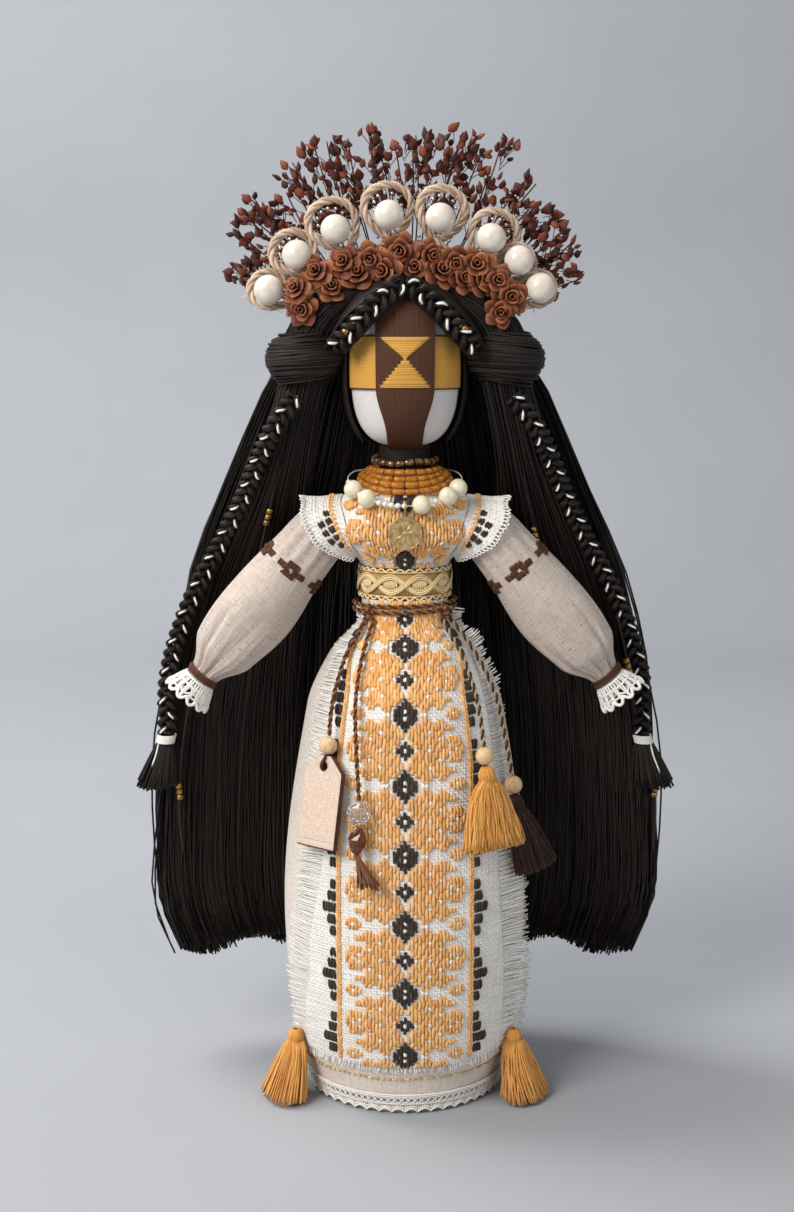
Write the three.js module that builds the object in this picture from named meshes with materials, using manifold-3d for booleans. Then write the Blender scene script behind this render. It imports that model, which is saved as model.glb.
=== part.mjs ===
// A wound folk art doll that stands on its skirt, in millimetres, +Z up, front facing -Y.
// Left is -X. The origin is the middle of the flat underside of the base disc.

import * as THREE from "three";
import { mergeVertices } from "three/addons/utils/BufferGeometryUtils.js";
import Module from "manifold-3d";

const wasm = await Module();
wasm.setup();

// Fits
const CLEARANCE = 0.3; // between pieces that lie against each other
const LOOSE = 1.2; // between a swinging piece and what it passes
const SURFACE_GAP = 0.5; // between the apron and what hangs over it

// Skirt and what it stands on
const BASE_THICKNESS = 3;
const HEM_RADIUS = 43;
const BELLY_RADIUS = 55;
const BELLY_HEIGHT = 85;
const HIP_RADIUS = 44;
const HIP_DROP = 49; // below the waist
const GATHER_RADIUS = 33;
const GATHER_DROP = 25; // below the waist
const WAIST_RADIUS = 19.3;
const WAIST_HEIGHT = 226;
const WAIST_BAND = 8.4;
const SKIRT_CLOTH = 1.2;
const LACE_HEIGHT = 10;
const LACE_THICKNESS = 0.9;
const APRON_CLOTH = 1.4;
const APRON_WIDTH = 132;
const APRON_BOTTOM = 25;
const APRON_SIDE_ANGLE = 80;
const DOWEL_RADIUS = 4;

// Waist
const BELT_HEIGHT = 13.5;
const BELT_THICKNESS = 1.9;
const WAIST_CORD_DIAMETER = 2.2;
const WAIST_CORD_TURNS = 2;
const WAIST_CORD_PITCH = 2.8;

// Torso, bodice and neck
const CHEST_HEIGHT = 41;
const CHEST_HALF_WIDTH = 32.5;
const CHEST_HALF_DEPTH = 27.5;
const BODICE_CLOTH = 1.5;
const NECK_RADIUS = 11.5;
const NECK_HEIGHT = 11.5;

// Head
const HEAD_HEIGHT = 74;
const HEAD_RADIUS = 24;
const THREAD_BAND = 0.8;
const CROSS_BAND_HEIGHT = 21.5;
const CROSS_BAND_RISE = 2.2;
const UPRIGHT_HALF_WIDTH = 13;
const UPRIGHT_CHIN_HALF_WIDTH = 7;
const HOURGLASS_HALF_WIDTH = 11.2;
const HOURGLASS_WAIST = 1.4;

// Arms
const SHOULDER_OUT = 38;
const SHOULDER_DROP = 27;
const SHOULDER_FORWARD = 6;
const SHOULDER_RADIUS = 13;
const FLAP_CLOTH = 1.2;
const SLEEVE_LENGTH = 84;
const SLEEVE_RADIUS = 17;
const WRIST_RADIUS = 6.5;
const ARM_SLOPE = 50.5;
const WRIST_TIE_WIDTH = 3.4;
const CUFF_LENGTH = 11;
const CUFF_RADIUS = 11.5;
const CUFF_THICKNESS = 1.4;

// Necklaces and coin
const BUGLE_RADIUS = 1.4;
const AMBER_RADIUS = 1.5;
const AMBER_DROP = 3.4;
const AMBER_SIDE_DROP = 2;
const CREAM_BEAD_RADIUS = 4;
const STRING_RADIUS = 1.2;
const RING_WIRE = 0.5;
const RING_RADIUS = 2.8;
const COIN_RADIUS = 7.4;
const COIN_THICKNESS = 1.4;

// Hair
const HAIR_CAP = 5;
const HAIR_THICKNESS = 9;
const HAIR_BOTTOM = 47;
const HAIR_SPREAD = 117;
const HANKS = 5;
const BUNCH_HALF_WIDTH = 13.4;
const BUNCH_HALF_DEPTH = 11.5;
const BUNCH_OUT = 43;
const BUNCH_FORWARD = 9;
const WRAP_DIAMETER = 2.4;
const WRAP_TURNS = 6;
const WRAP_PITCH = 3;
const BRAID_RADIUS = 4.8;
const BRAID_END_OUT = 110;
const BRAID_END_DROP = 158;
const BRAID_TUFT = 22;
const BRAID_TIE_WIDTH = 4;

// Crown
const CROWN_BAND = 2.5;
const CROWN_BAND_DEPTH = 9;
const CROWN_SIDE = 6;
const ROSES = 12;
const ROSE_RADIUS = 6.2;
const LOOP_ANGLES = [151.5, 134, 116.5, 96, 77, 56.5, 43, 29.5]; // of the twine's loops on the arch
const LOOP_RADII = [10.5, 12, 13, 13, 13, 12.5, 9.5, 9.5];
const LOOP_END = 6.5; // angle that the twine runs on past its first and last loop
const JUTE_DIAMETER = 3.6;
const CROWN_BEAD_RADIUS = 7;
const CROWN_BEAD_FORWARD = 2.9; // its middle in front of the twine and the wire
const BEAD_WIRE = 0.8;
const SPRIGS = 13;
const SPRIG_LENGTH = 54;

// Things that hang from the waist cord, placed by the angle from the front
const CORD_DIAMETER = 2.2;
const WOOD_BEAD_RADIUS = 4;
const TAG_ANGLE = -39;
const TAG_CORD_DROP = 57; // below the waist, as the next three are
const TAG_WIDTH = 21;
const TAG_LENGTH = 40;
const TAG_THICKNESS = 3;
const TAG_HOLE_RADIUS = 2;
const TAG_CHAMFER = 7;
const CRYSTAL_ANGLE = -20;
const CRYSTAL_CORD_DROP = 82;
const CRYSTAL_RADIUS = 5.2;
const DROP_RADIUS = 4;
const DROP_LENGTH = 12;
const FRAY_LENGTH = 15;
const GOLD_ANGLE = 36;
const GOLD_CORD_DROP = 61;
const DARK_ANGLE = 58;
const DARK_CORD_DROP = 77;
const GOLD_FORWARD = 4.5;
const TASSEL_LENGTH = 35;
const TASSEL_HALF_WIDTH = 12.5;
const TASSEL_HALF_DEPTH = 4.6;
const HEM_TASSEL_LENGTH = 29;
const HEM_TASSEL_RADIUS = 12;
const HEM_TASSEL_ANGLE = 62;

// Roundness
const ROUND = 20;
const SOFT_ROUND = 12;
const CORD_SIDES = 8;

// Places that follow from the sizes
const hipHeight = WAIST_HEIGHT - HIP_DROP;
const gatherHeight = WAIST_HEIGHT - GATHER_DROP;
const beltTop = WAIST_HEIGHT + BELT_HEIGHT;
const neckBase = beltTop + CHEST_HEIGHT;
const headBottom = neckBase + NECK_HEIGHT;
const headMiddle = headBottom + HEAD_HEIGHT * 0.47;
const headTop = headBottom + HEAD_HEIGHT;
const shoulderZ = neckBase - SHOULDER_DROP;
const shoulderY = -SHOULDER_FORWARD;
const bandsOut = CLEARANCE + THREAD_BAND;
const capIn = 3 * bandsOut + CLEARANCE;
const capOut = capIn + HAIR_CAP;
const braidY = shoulderY + SLEEVE_RADIUS + LOOSE + BRAID_RADIUS;
const hairSideY = braidY + BRAID_RADIUS + LOOSE + HAIR_THICKNESS / 2;
const bunchZ = headMiddle + 4;

// Finishes
const finish = (color, roughness, metalness = 0) =>
  new THREE.MeshStandardMaterial({ color, roughness, metalness });
const linen = finish(0xcbb591, 0.9);
const whiteCloth = finish(0xece6da, 0.9);
const mustard = finish(0xc08a2c, 0.9);
const darkBrown = finish(0x3a231a, 0.9);
const hairBlack = finish(0x120c0b, 0.6);
const paleWood = finish(0xd9b98a, 0.6);
const cream = finish(0xefe6d3, 0.25);
const gold = finish(0xc9a860, 0.4);
const amber = finish(0x6b3a16, 0.15);
const bronze = finish(0x4a3728, 0.3, 0.6);
const brass = finish(0x9a7c48, 0.4, 1);
const rust = finish(0x9c5220, 0.8);
const jute = finish(0xb9966f, 0.9);
const driedGrass = finish(0x4a2418, 0.9);
const clear = finish(0xcfc9c0, 0.1);

// Value of a smooth curve through [place, value] knots that never overshoots them.
function through(knots) {
  const slopes = knots.slice(1).map(([at, value], i) => (value - knots[i][1]) / (at - knots[i][0]));
  const tangents = knots.map((_, i) => {
    if (i === 0) return slopes[0];
    if (i === knots.length - 1) return slopes[i - 1];
    const [before, after] = [slopes[i - 1], slopes[i]];
    return before * after <= 0 ? 0 : (2 * before * after) / (before + after);
  });
  return (at) => {
    const last = knots.length - 2;
    const found = knots.findIndex(([place]) => place > at) - 1;
    const i = at <= knots[0][0] ? 0 : found < 0 ? last : Math.min(found, last);
    const span = knots[i + 1][0] - knots[i][0];
    const t = Math.min(Math.max((at - knots[i][0]) / span, 0), 1);
    const [t2, t3] = [t * t, t * t * t];
    return (
      (2 * t3 - 3 * t2 + 1) * knots[i][1] +
      (t3 - 2 * t2 + t) * span * tangents[i] +
      (3 * t2 - 2 * t3) * knots[i + 1][1] +
      (t3 - t2) * span * tangents[i + 1]
    );
  };
}

const point = (x, y, z) => new THREE.Vector3(x, y, z);
const radians = (degrees) => (degrees * Math.PI) / 180;
const steps = (count, from, to) =>
  Array.from({ length: count + 1 }, (_, i) => from + ((to - from) * i) / count);

// Makes a solid of a closed geometry, with its faces pointing out.
function solid(geometry) {
  const bare = new THREE.BufferGeometry();
  bare.setAttribute("position", geometry.getAttribute("position"));
  if (geometry.index) bare.setIndex(geometry.index);
  const merged = mergeVertices(bare, 1e-3);
  const corners = merged.index.array;
  const kept = [];
  for (let i = 0; i < corners.length; i += 3) {
    const [a, b, c] = [corners[i], corners[i + 1], corners[i + 2]];
    if (a !== b && b !== c && c !== a) kept.push([a, b, c]);
  }
  const build = (faces) =>
    new wasm.Manifold(
      new wasm.Mesh({
        numProp: 3,
        vertProperties: new Float32Array(merged.attributes.position.array),
        triVerts: new Uint32Array(faces.flat()),
      }),
    );
  const made = build(kept);
  return made.volume() < 0 ? build(kept.map(([a, b, c]) => [a, c, b])) : made;
}

// Turns a [radius, height] outline round the Z axis.
function turned(outline, sides = ROUND) {
  const line = outline.map(([radius, height]) => new THREE.Vector2(radius, height));
  return solid(new THREE.LatheGeometry(line, sides).rotateX(Math.PI / 2));
}

// Upright rod, used for bores too.
const rod = (radius, from, to, sides = ROUND) =>
  turned([[0, from], [radius, from], [radius, to], [0, to]], sides);

const ball = (radius, at, across = 16, up = 10) =>
  solid(new THREE.SphereGeometry(radius, across, up)).translate([at.x, at.y, at.z]);

// Skins a row of rings that have the same number of points.
function loft(rings, closed = false) {
  const count = rings[0].length;
  const index = [];
  const bands = closed ? rings.length : rings.length - 1;
  for (let i = 0; i < bands; i++) {
    const [low, high] = [i * count, ((i + 1) % rings.length) * count];
    for (let j = 0; j < count; j++) {
      const next = (j + 1) % count;
      index.push(low + j, low + next, high + next, low + j, high + next, high + j);
    }
  }
  const top = (rings.length - 1) * count;
  for (let j = 1; !closed && j < count - 1; j++) {
    index.push(0, j + 1, j, top, top + j, top + j + 1);
  }
  const geometry = new THREE.BufferGeometry().setFromPoints(rings.flat());
  geometry.setIndex(index);
  return solid(geometry);
}

// Skins rows of points that run along one face of a slab and back along the other.
function strip(rows) {
  const count = rows[0].length;
  const half = count / 2;
  const index = [];
  for (let i = 0; i < rows.length - 1; i++) {
    const [low, high] = [i * count, (i + 1) * count];
    for (let j = 0; j < count; j++) {
      const next = (j + 1) % count;
      index.push(low + j, low + next, high + next, low + j, high + next, high + j);
    }
  }
  const top = (rows.length - 1) * count;
  for (let j = 0; j < half - 1; j++) {
    const [a, b, c, d] = [j, j + 1, count - 2 - j, count - 1 - j];
    index.push(a, c, b, a, d, c, top + a, top + b, top + c, top + a, top + c, top + d);
  }
  const geometry = new THREE.BufferGeometry().setFromPoints(rows.flat());
  geometry.setIndex(index);
  return solid(geometry);
}
// Level oval ring of points.
const oval = (halfWidth, halfDepth, z, sides, middle = point(0, 0, 0)) =>
  steps(sides - 1, 0, 2 * Math.PI * (1 - 1 / sides)).map((turn) =>
    point(middle.x + halfWidth * Math.cos(turn), middle.y + halfDepth * Math.sin(turn), z),
  );

// Oval ring across a path; its second half size lies as near the Y axis as it can.
function ovalAcross(curve, at, halfWidth, halfDepth, sides) {
  const along = curve.getTangentAt(at);
  const deep = point(0, 1, 0).addScaledVector(along, -along.y).normalize();
  const across = new THREE.Vector3().crossVectors(along, deep);
  return steps(sides - 1, 0, 2 * Math.PI * (1 - 1 / sides)).map((turn) =>
    curve
      .getPointAt(at)
      .addScaledVector(across, halfWidth * Math.cos(turn))
      .addScaledVector(deep, halfDepth * Math.sin(turn)),
  );
}

// Sweeps an oval along a path, with a ring at each stop.
function limb(points, stops, sides, sizeAt) {
  const curve = new THREE.CatmullRomCurve3(points);
  return loft(stops.map((at) => ovalAcross(curve, at, ...sizeAt(at), sides)));
}

// Round cord of one thickness along a path.
function cord(points, diameter, count, sides = CORD_SIDES) {
  const edge = steps(sides - 1, 0, 2 * Math.PI * (1 - 1 / sides)).map(
    (turn) => new THREE.Vector2((diameter / 2) * Math.cos(turn), (diameter / 2) * Math.sin(turn)),
  );
  const extrudePath = new THREE.CatmullRomCurve3(points);
  return solid(
    new THREE.ExtrudeGeometry(new THREE.Shape(edge), { steps: count, extrudePath }),
  );
}

// Round closed cord through points that are already close together.
function hoop(points, radius, sides = CORD_SIDES) {
  const curve = new THREE.CatmullRomCurve3(points, true);
  const count = points.length;
  const frames = curve.computeFrenetFrames(count, true);
  const rings = steps(count - 1, 0, 1 - 1 / count).map((at, i) =>
    steps(sides - 1, 0, 2 * Math.PI * (1 - 1 / sides)).map((turn) =>
      curve
        .getPointAt(at)
        .addScaledVector(frames.normals[i], radius * Math.cos(turn))
        .addScaledVector(frames.binormals[i], radius * Math.sin(turn)),
    ),
  );
  return loft(rings, true);
}

// Prism of an outline in the XZ plane, between two depths.
function prism(outline, front, back) {
  const shape = new THREE.Shape(outline.map(([x, z]) => new THREE.Vector2(x, z)));
  const plate = new THREE.ExtrudeGeometry(shape, { depth: back - front, bevelEnabled: false });
  return solid(plate.rotateX(Math.PI / 2)).translate([0, back, 0]);
}

// Least gap of a wound tube to itself, between points that are apart along it.
function leastGap(points, diameter, name) {
  let least = Infinity;
  const lengths = points.slice(1).map((p, i) => p.distanceTo(points[i]));
  for (let i = 0; i < points.length; i++) {
    let along = 0;
    for (let j = i + 1; j < points.length; j++) {
      along += lengths[j - 1];
      if (along > 2.5 * diameter) least = Math.min(least, points[i].distanceTo(points[j]));
    }
  }
  console.log(`${name}: least gap to itself ${(least - diameter).toFixed(2)} mm`);
}

const group = new THREE.Group();
group.name = "folk_art_doll";

function add(name, made, material) {
  const data = made.getMesh();
  const geometry = new THREE.BufferGeometry();
  const places = new Float32Array(data.vertProperties);
  geometry.setAttribute("position", new THREE.BufferAttribute(places, 3));
  geometry.setIndex(new THREE.BufferAttribute(new Uint32Array(data.triVerts), 1));
  geometry.computeVertexNormals();
  const mesh = new THREE.Mesh(geometry, material);
  mesh.name = name;
  group.add(mesh);
}

const joined = (pieces) => pieces.reduce((whole, piece) => whole.add(piece));
const mirrored = (made) => made.mirror([1, 0, 0]);

// Adds a left piece and the same piece on the right.
function addPair(name, made, material) {
  add(`${name}_left`, made, material);
  add(`${name}_right`, mirrored(made), material);
}

// Skirt, base, core and dowel
const skirtRadius = through([
  [0, HEM_RADIUS],
  [BELLY_HEIGHT * 0.45, (HEM_RADIUS + 3 * BELLY_RADIUS) / 4],
  [BELLY_HEIGHT, BELLY_RADIUS],
  [hipHeight, HIP_RADIUS],
  [gatherHeight, GATHER_RADIUS],
  [WAIST_HEIGHT - WAIST_BAND, WAIST_RADIUS + CLEARANCE],
  [WAIST_HEIGHT, WAIST_RADIUS],
]);
const skirtTop = WAIST_HEIGHT - CLEARANCE;
const skirtRows = [
  ...steps(2, BELLY_HEIGHT * 0.3, BELLY_HEIGHT),
  ...steps(1, (BELLY_HEIGHT + hipHeight) / 2, hipHeight),
  ...[gatherHeight, WAIST_HEIGHT - WAIST_BAND],
];
const skirtHeights = [CLEARANCE, ...skirtRows, skirtTop];
const skirtLine = (offset, heights) => heights.map((z) => [skirtRadius(z) + offset, z]);
const ringed = (inner, outer) => [...inner, ...outer.reverse(), inner[0]];
const skirtShell = (inner, outer, heights) =>
  ringed(skirtLine(inner, heights), skirtLine(outer, heights));
add("skirt", turned(skirtShell(-SKIRT_CLOTH, 0, skirtHeights)), linen);

const insideSkirt = -SKIRT_CLOTH - CLEARANCE;
add("base_disc", rod(HEM_RADIUS + insideSkirt, 0, BASE_THICKNESS), paleWood);
const dowelTop = headMiddle + 8;
add("core_dowel", rod(DOWEL_RADIUS, BASE_THICKNESS + CLEARANCE, dowelTop, 12), paleWood);
const dowelBore = rod(DOWEL_RADIUS + CLEARANCE, 0, dowelTop + CLEARANCE, 12);
const coreHeights = [BASE_THICKNESS + CLEARANCE, ...skirtRows, skirtTop - CLEARANCE];
const coreLine = skirtLine(insideSkirt, coreHeights);
const coreOutline = [[0, coreHeights[0]], ...coreLine, [0, coreHeights.at(-1)]];
add("body_core", turned(coreOutline).subtract(dowelBore), whiteCloth);

const laceShell = skirtShell(CLEARANCE, CLEARANCE + LACE_THICKNESS, [CLEARANCE, LACE_HEIGHT]);
add("lace_hem", turned(laceShell), whiteCloth);

// Place on the skirt, at an angle from the front and a distance off the cloth.
function onSkirt(angle, z, off) {
  const slope = (skirtRadius(z + 2) - skirtRadius(z - 2)) / 4;
  const out = (off * 1.04) / Math.hypot(1, slope);
  const radius = skirtRadius(z) + out;
  const turn = radians(angle);
  return point(radius * Math.sin(turn), -radius * Math.cos(turn), z - out * slope);
}

// Apron: cloth of one width that wraps the skirt further round where the skirt is narrow
const apronInner = CLEARANCE;
const apronOuter = CLEARANCE + APRON_CLOTH;
const apronHalf = (z) =>
  skirtRadius(z) *
  Math.sin(Math.min(APRON_WIDTH / 2 / skirtRadius(z), radians(APRON_SIDE_ANGLE)));
const apronHeights = [APRON_BOTTOM, ...skirtRows.filter((z) => z > APRON_BOTTOM), skirtTop];
const apronRight = apronHeights.map((z) => [apronHalf(z) + apronOuter, z]);
const apronLeft = apronRight.map(([x, z]) => [-x, z]).reverse();
const apronCut = prism([...apronRight, ...apronLeft], -2 * BELLY_RADIUS, 0);
const apronShell = turned(skirtShell(apronInner, apronOuter, skirtHeights));
add("apron", apronShell.intersect(apronCut), whiteCloth);

// Belt and the cord wound round the waist
const torsoWaist = WAIST_RADIUS - CLEARANCE - 0.5;
const beltIn = torsoWaist + CLEARANCE;
const beltOut = beltIn + BELT_THICKNESS;
const beltLine = [
  [beltIn, WAIST_HEIGHT],
  [beltOut, WAIST_HEIGHT],
  [beltOut, beltTop],
  [beltIn, beltTop],
  [beltIn, WAIST_HEIGHT],
];
add("belt_braid", turned(beltLine), gold);

const waistTop = WAIST_HEIGHT - WAIST_CORD_DIAMETER / 2;
const waistPoints = steps(WAIST_CORD_TURNS * 16, 0, WAIST_CORD_TURNS).map((turn) => {
  const z = waistTop - turn * WAIST_CORD_PITCH;
  const radius = WAIST_RADIUS + apronOuter + 2 * CLEARANCE + WAIST_CORD_DIAMETER / 2;
  const angle = 2 * Math.PI * turn;
  return point(radius * Math.sin(angle), radius * Math.cos(angle), z);
});
leastGap(waistPoints, WAIST_CORD_DIAMETER, "waist_cord");
add("waist_cord", cord(waistPoints, WAIST_CORD_DIAMETER, WAIST_CORD_TURNS * 16, 6), darkBrown);
const waistCordBottom =
  waistTop - WAIST_CORD_TURNS * WAIST_CORD_PITCH - WAIST_CORD_DIAMETER / 2 - CLEARANCE;

// Torso, cut by the balls of the shoulders
const chestWidth = through([
  [WAIST_HEIGHT, torsoWaist],
  [beltTop, torsoWaist],
  [beltTop + CHEST_HEIGHT * 0.36, CHEST_HALF_WIDTH],
  [beltTop + CHEST_HEIGHT * 0.62, CHEST_HALF_WIDTH * 0.95],
  [beltTop + CHEST_HEIGHT * 0.85, (CHEST_HALF_WIDTH + 1.2 * NECK_RADIUS) / 2.2],
  [neckBase, NECK_RADIUS],
]);
const chestDepth = through([
  [WAIST_HEIGHT, torsoWaist],
  [beltTop, torsoWaist],
  [beltTop + CHEST_HEIGHT * 0.36, CHEST_HALF_DEPTH],
  [beltTop + CHEST_HEIGHT * 0.62, CHEST_HALF_DEPTH * 0.9],
  [beltTop + CHEST_HEIGHT * 0.85, (CHEST_HALF_DEPTH + 1.2 * NECK_RADIUS) / 2.2],
  [neckBase, NECK_RADIUS],
]);
const chest = (offset, heights) =>
  loft(heights.map((z) => oval(chestWidth(z) + offset, chestDepth(z) + offset, z, ROUND)));
const chestRows = steps(5, beltTop + CHEST_HEIGHT * 0.14, neckBase - 2);
const torsoHeights = [WAIST_HEIGHT, beltTop, ...chestRows, neckBase - CLEARANCE];
const shoulder = point(-SHOULDER_OUT, shoulderY, shoulderZ);
// Room for both shoulders, a little larger so that its flat facets clear the radius.
const shoulderRoom = (radius) => {
  const one = ball(radius * 1.04, shoulder, 12, 8);
  return one.add(mirrored(one));
};
const torso = chest(0, torsoHeights)
  .subtract(dowelBore)
  .subtract(shoulderRoom(SHOULDER_RADIUS + CLEARANCE));
add("torso", torso, whiteCloth);

// Bodice, with a flap of the cloth over each shoulder
const armAlong = point(-Math.cos(radians(ARM_SLOPE)), 0, -Math.sin(radians(ARM_SLOPE)));
const flapIn = SHOULDER_RADIUS + LOOSE;
const flapOut = flapIn + FLAP_CLOTH;
const flap = ball(flapOut * 1.04, shoulder, 12, 8).trimByPlane(
  armAlong.clone().negate().toArray(),
  -armAlong.dot(shoulder) - LOOSE,
);
const bodice = chest(CLEARANCE + BODICE_CLOTH, [beltTop + CLEARANCE, ...chestRows])
  .add(flap)
  .add(mirrored(flap))
  .subtract(chest(CLEARANCE, [beltTop, ...chestRows, neckBase]))
  .subtract(shoulderRoom(flapIn));
add("bodice", bodice, whiteCloth);

// Arms: stuffed sleeves on round shoulders, tied at the wrist, with a flared cuff
const sleeveRadius = through([
  [0, SHOULDER_RADIUS],
  [6, SHOULDER_RADIUS + 0.2],
  [SLEEVE_LENGTH * 0.52, SLEEVE_RADIUS],
  [SLEEVE_LENGTH * 0.8, SLEEVE_RADIUS * 0.8],
  [SLEEVE_LENGTH - WRIST_TIE_WIDTH - CLEARANCE, WRIST_RADIUS],
  [SLEEVE_LENGTH, WRIST_RADIUS],
]);
const ballRadius = (along) => Math.sqrt(Math.max(SHOULDER_RADIUS ** 2 - along ** 2, 0.04));
const armPlace = (along) => shoulder.clone().addScaledVector(armAlong, along);
const armRing = (along, radius, sides = SOFT_ROUND) => {
  const across = new THREE.Vector3().crossVectors(armAlong, point(0, 1, 0));
  return steps(sides - 1, 0, 2 * Math.PI * (1 - 1 / sides)).map((turn) =>
    armPlace(along)
      .addScaledVector(across, radius * Math.cos(turn))
      .addScaledVector(point(0, 1, 0), radius * Math.sin(turn)),
  );
};
const sleeveEnds = [-SHOULDER_RADIUS, -0.9 * SHOULDER_RADIUS, -0.6 * SHOULDER_RADIUS];
const sleeveRest = [0, ...steps(7, 6, SLEEVE_LENGTH - WRIST_TIE_WIDTH - CLEARANCE), SLEEVE_LENGTH];
const sleeve = loft([
  ...sleeveEnds.map((along) => armRing(along, ballRadius(along))),
  ...sleeveRest.map((along) => armRing(along, sleeveRadius(along))),
]);
addPair("sleeve", sleeve, linen);

// Ring round the arm, from rows of [place along the arm, radius].
const armTurned = (rows, sides) =>
  loft(rows.map(([along, radius]) => armRing(along, radius, sides)), true);
const tieIn = WRIST_RADIUS + CLEARANCE;
const tieFrom = SLEEVE_LENGTH - WRIST_TIE_WIDTH;
const tieTo = SLEEVE_LENGTH - CLEARANCE;
const tieOut = tieIn + 1.3;
const tieRows = [[tieFrom, tieIn], [tieFrom, tieOut], [tieTo, tieOut], [tieTo, tieIn]];
addPair("wrist_tie", armTurned(tieRows, SOFT_ROUND), darkBrown);
const cuffFrom = SLEEVE_LENGTH + CLEARANCE;
const cuffTo = cuffFrom + CUFF_LENGTH;
const cuffNarrow = WRIST_RADIUS - CUFF_THICKNESS;
const cuffRows = [
  [cuffFrom, cuffNarrow],
  [cuffFrom, WRIST_RADIUS],
  [cuffTo, CUFF_RADIUS],
  [cuffTo, CUFF_RADIUS - CUFF_THICKNESS],
];
addPair("cuff", armTurned(cuffRows, SOFT_ROUND), whiteCloth);

// Head, wound with thread, and the bands over it
const headUp = headTop - headMiddle;
const headDown = headMiddle - headBottom;
const headRadius = (z) => {
  const [reach, power] = z < headMiddle ? [headDown, 2.8] : [headUp, 2.2];
  const share = Math.min(Math.abs(z - headMiddle) / reach, 1);
  return HEAD_RADIUS * (1 - share ** power) ** (1 / power);
};
// The head grown by an offset all round.
function headShape(offset, sides = ROUND) {
  const turns = steps(10, -Math.PI / 2, Math.PI / 2);
  const outline = turns.map((turn) => {
    const reach = turn < 0 ? headDown : headUp;
    const z = headMiddle + reach * Math.sin(turn);
    const radius = Math.abs(turn) > 1.57 ? 0 : headRadius(z) + offset * Math.cos(turn);
    return [radius, z + offset * Math.sin(turn)];
  });
  return turned(outline, sides);
}
add("head", headShape(0).subtract(dowelBore), whiteCloth);

const crossTop = headMiddle + CROSS_BAND_RISE + CROSS_BAND_HEIGHT / 2;
const crossBottom = crossTop - CROSS_BAND_HEIGHT;
const crossHeights = steps(3, crossBottom, crossTop);
const crossLine = (offset) => crossHeights.map((z) => [headRadius(z) + offset, z]);
add("face_band_cross", turned(ringed(crossLine(CLEARANCE), crossLine(bandsOut))), mustard);

const uprightOutline = [
  [-UPRIGHT_HALF_WIDTH, headTop + capOut],
  [-UPRIGHT_HALF_WIDTH, crossBottom],
  [-UPRIGHT_CHIN_HALF_WIDTH, headBottom - 2 * bandsOut],
  [UPRIGHT_CHIN_HALF_WIDTH, headBottom - 2 * bandsOut],
  [UPRIGHT_HALF_WIDTH, crossBottom],
  [UPRIGHT_HALF_WIDTH, headTop + capOut],
];
const uprightBand = headShape(2 * bandsOut)
  .subtract(headShape(bandsOut + CLEARANCE))
  .intersect(prism(uprightOutline, -2 * HEAD_RADIUS, 2 * HEAD_RADIUS))
  .subtract(dowelBore);
add("face_band_upright", uprightBand, darkBrown);

const crossMiddle = (crossTop + crossBottom) / 2;
const hourglassOutline = [
  [-HOURGLASS_HALF_WIDTH, crossBottom],
  [HOURGLASS_HALF_WIDTH, crossBottom],
  [HOURGLASS_WAIST, crossMiddle],
  [HOURGLASS_HALF_WIDTH, crossTop],
  [-HOURGLASS_HALF_WIDTH, crossTop],
  [-HOURGLASS_WAIST, crossMiddle],
];
const hourglass = headShape(3 * bandsOut)
  .subtract(headShape(2 * bandsOut + CLEARANCE))
  .intersect(prism(hourglassOutline, -2 * HEAD_RADIUS, -HEAD_RADIUS / 2));
add("face_hourglass", hourglass, mustard);

const neckOutline = [
  [0, neckBase],
  [NECK_RADIUS, neckBase],
  [NECK_RADIUS, headBottom + 3],
  [0, headBottom + 3],
];
const neck = turned(neckOutline, 24)
  .subtract(headShape(2 * bandsOut + CLEARANCE))
  .subtract(dowelBore);
add("neck_wrap", neck, darkBrown);

// Necklaces lie on the bodice, off its surface, at a height that changes round the neck
const bodiceOut = CLEARANCE + BODICE_CLOTH;
function onChest(angle, z, off) {
  const [sin, cos] = [Math.sin(radians(angle)), Math.cos(radians(angle))];
  const reach = (at) => Math.hypot((chestWidth(at) + bodiceOut) * sin, (chestDepth(at) + bodiceOut) * cos);
  const slope = reach(z + 0.5) - reach(z - 0.5);
  const out = (off * 1.08) / Math.hypot(1, slope);
  return point(
    (chestWidth(z) + bodiceOut + out) * sin,
    -(chestDepth(z) + bodiceOut + out) * cos,
    z - out * slope,
  );
}
const strand = (front, back, off, dip = 2.2) => (angle) =>
  onChest(angle, back + (front - back) * ((1 + Math.cos(radians(angle))) / 2) ** dip, off);
const around = (count) => steps(count - 1, 0, 360 * (1 - 1 / count));
const bugleZ = neckBase + NECK_HEIGHT * 0.5;
const bugleLine = around(16).map((angle) => {
  const radius = NECK_RADIUS + CLEARANCE + BUGLE_RADIUS;
  return point(radius * Math.sin(radians(angle)), -radius * Math.cos(radians(angle)), bugleZ);
});
add("bugle_necklace", hoop(bugleLine, BUGLE_RADIUS, 5), bronze);

const amberOff = AMBER_RADIUS + CLEARANCE;
const amberTop = neckBase + 0.5;
const amberLow = amberTop - 2 * AMBER_DROP;
const amberSideLow = amberTop - 2 * AMBER_SIDE_DROP;
const amberRows = [0, 1, 2].map((row) => {
  const line = strand(amberTop - row * AMBER_DROP, amberTop - row * AMBER_SIDE_DROP, amberOff);
  return hoop(around(20).map(line), AMBER_RADIUS, 4);
});
const claspLine = [amberTop, amberSideLow].map((z) => onChest(180, z, amberOff));
const clasp = limb(claspLine, [0, 1], 6, () => [AMBER_RADIUS, AMBER_RADIUS * 0.8]);
add("amber_necklace", joined([...amberRows, clasp]), amber);

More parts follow.
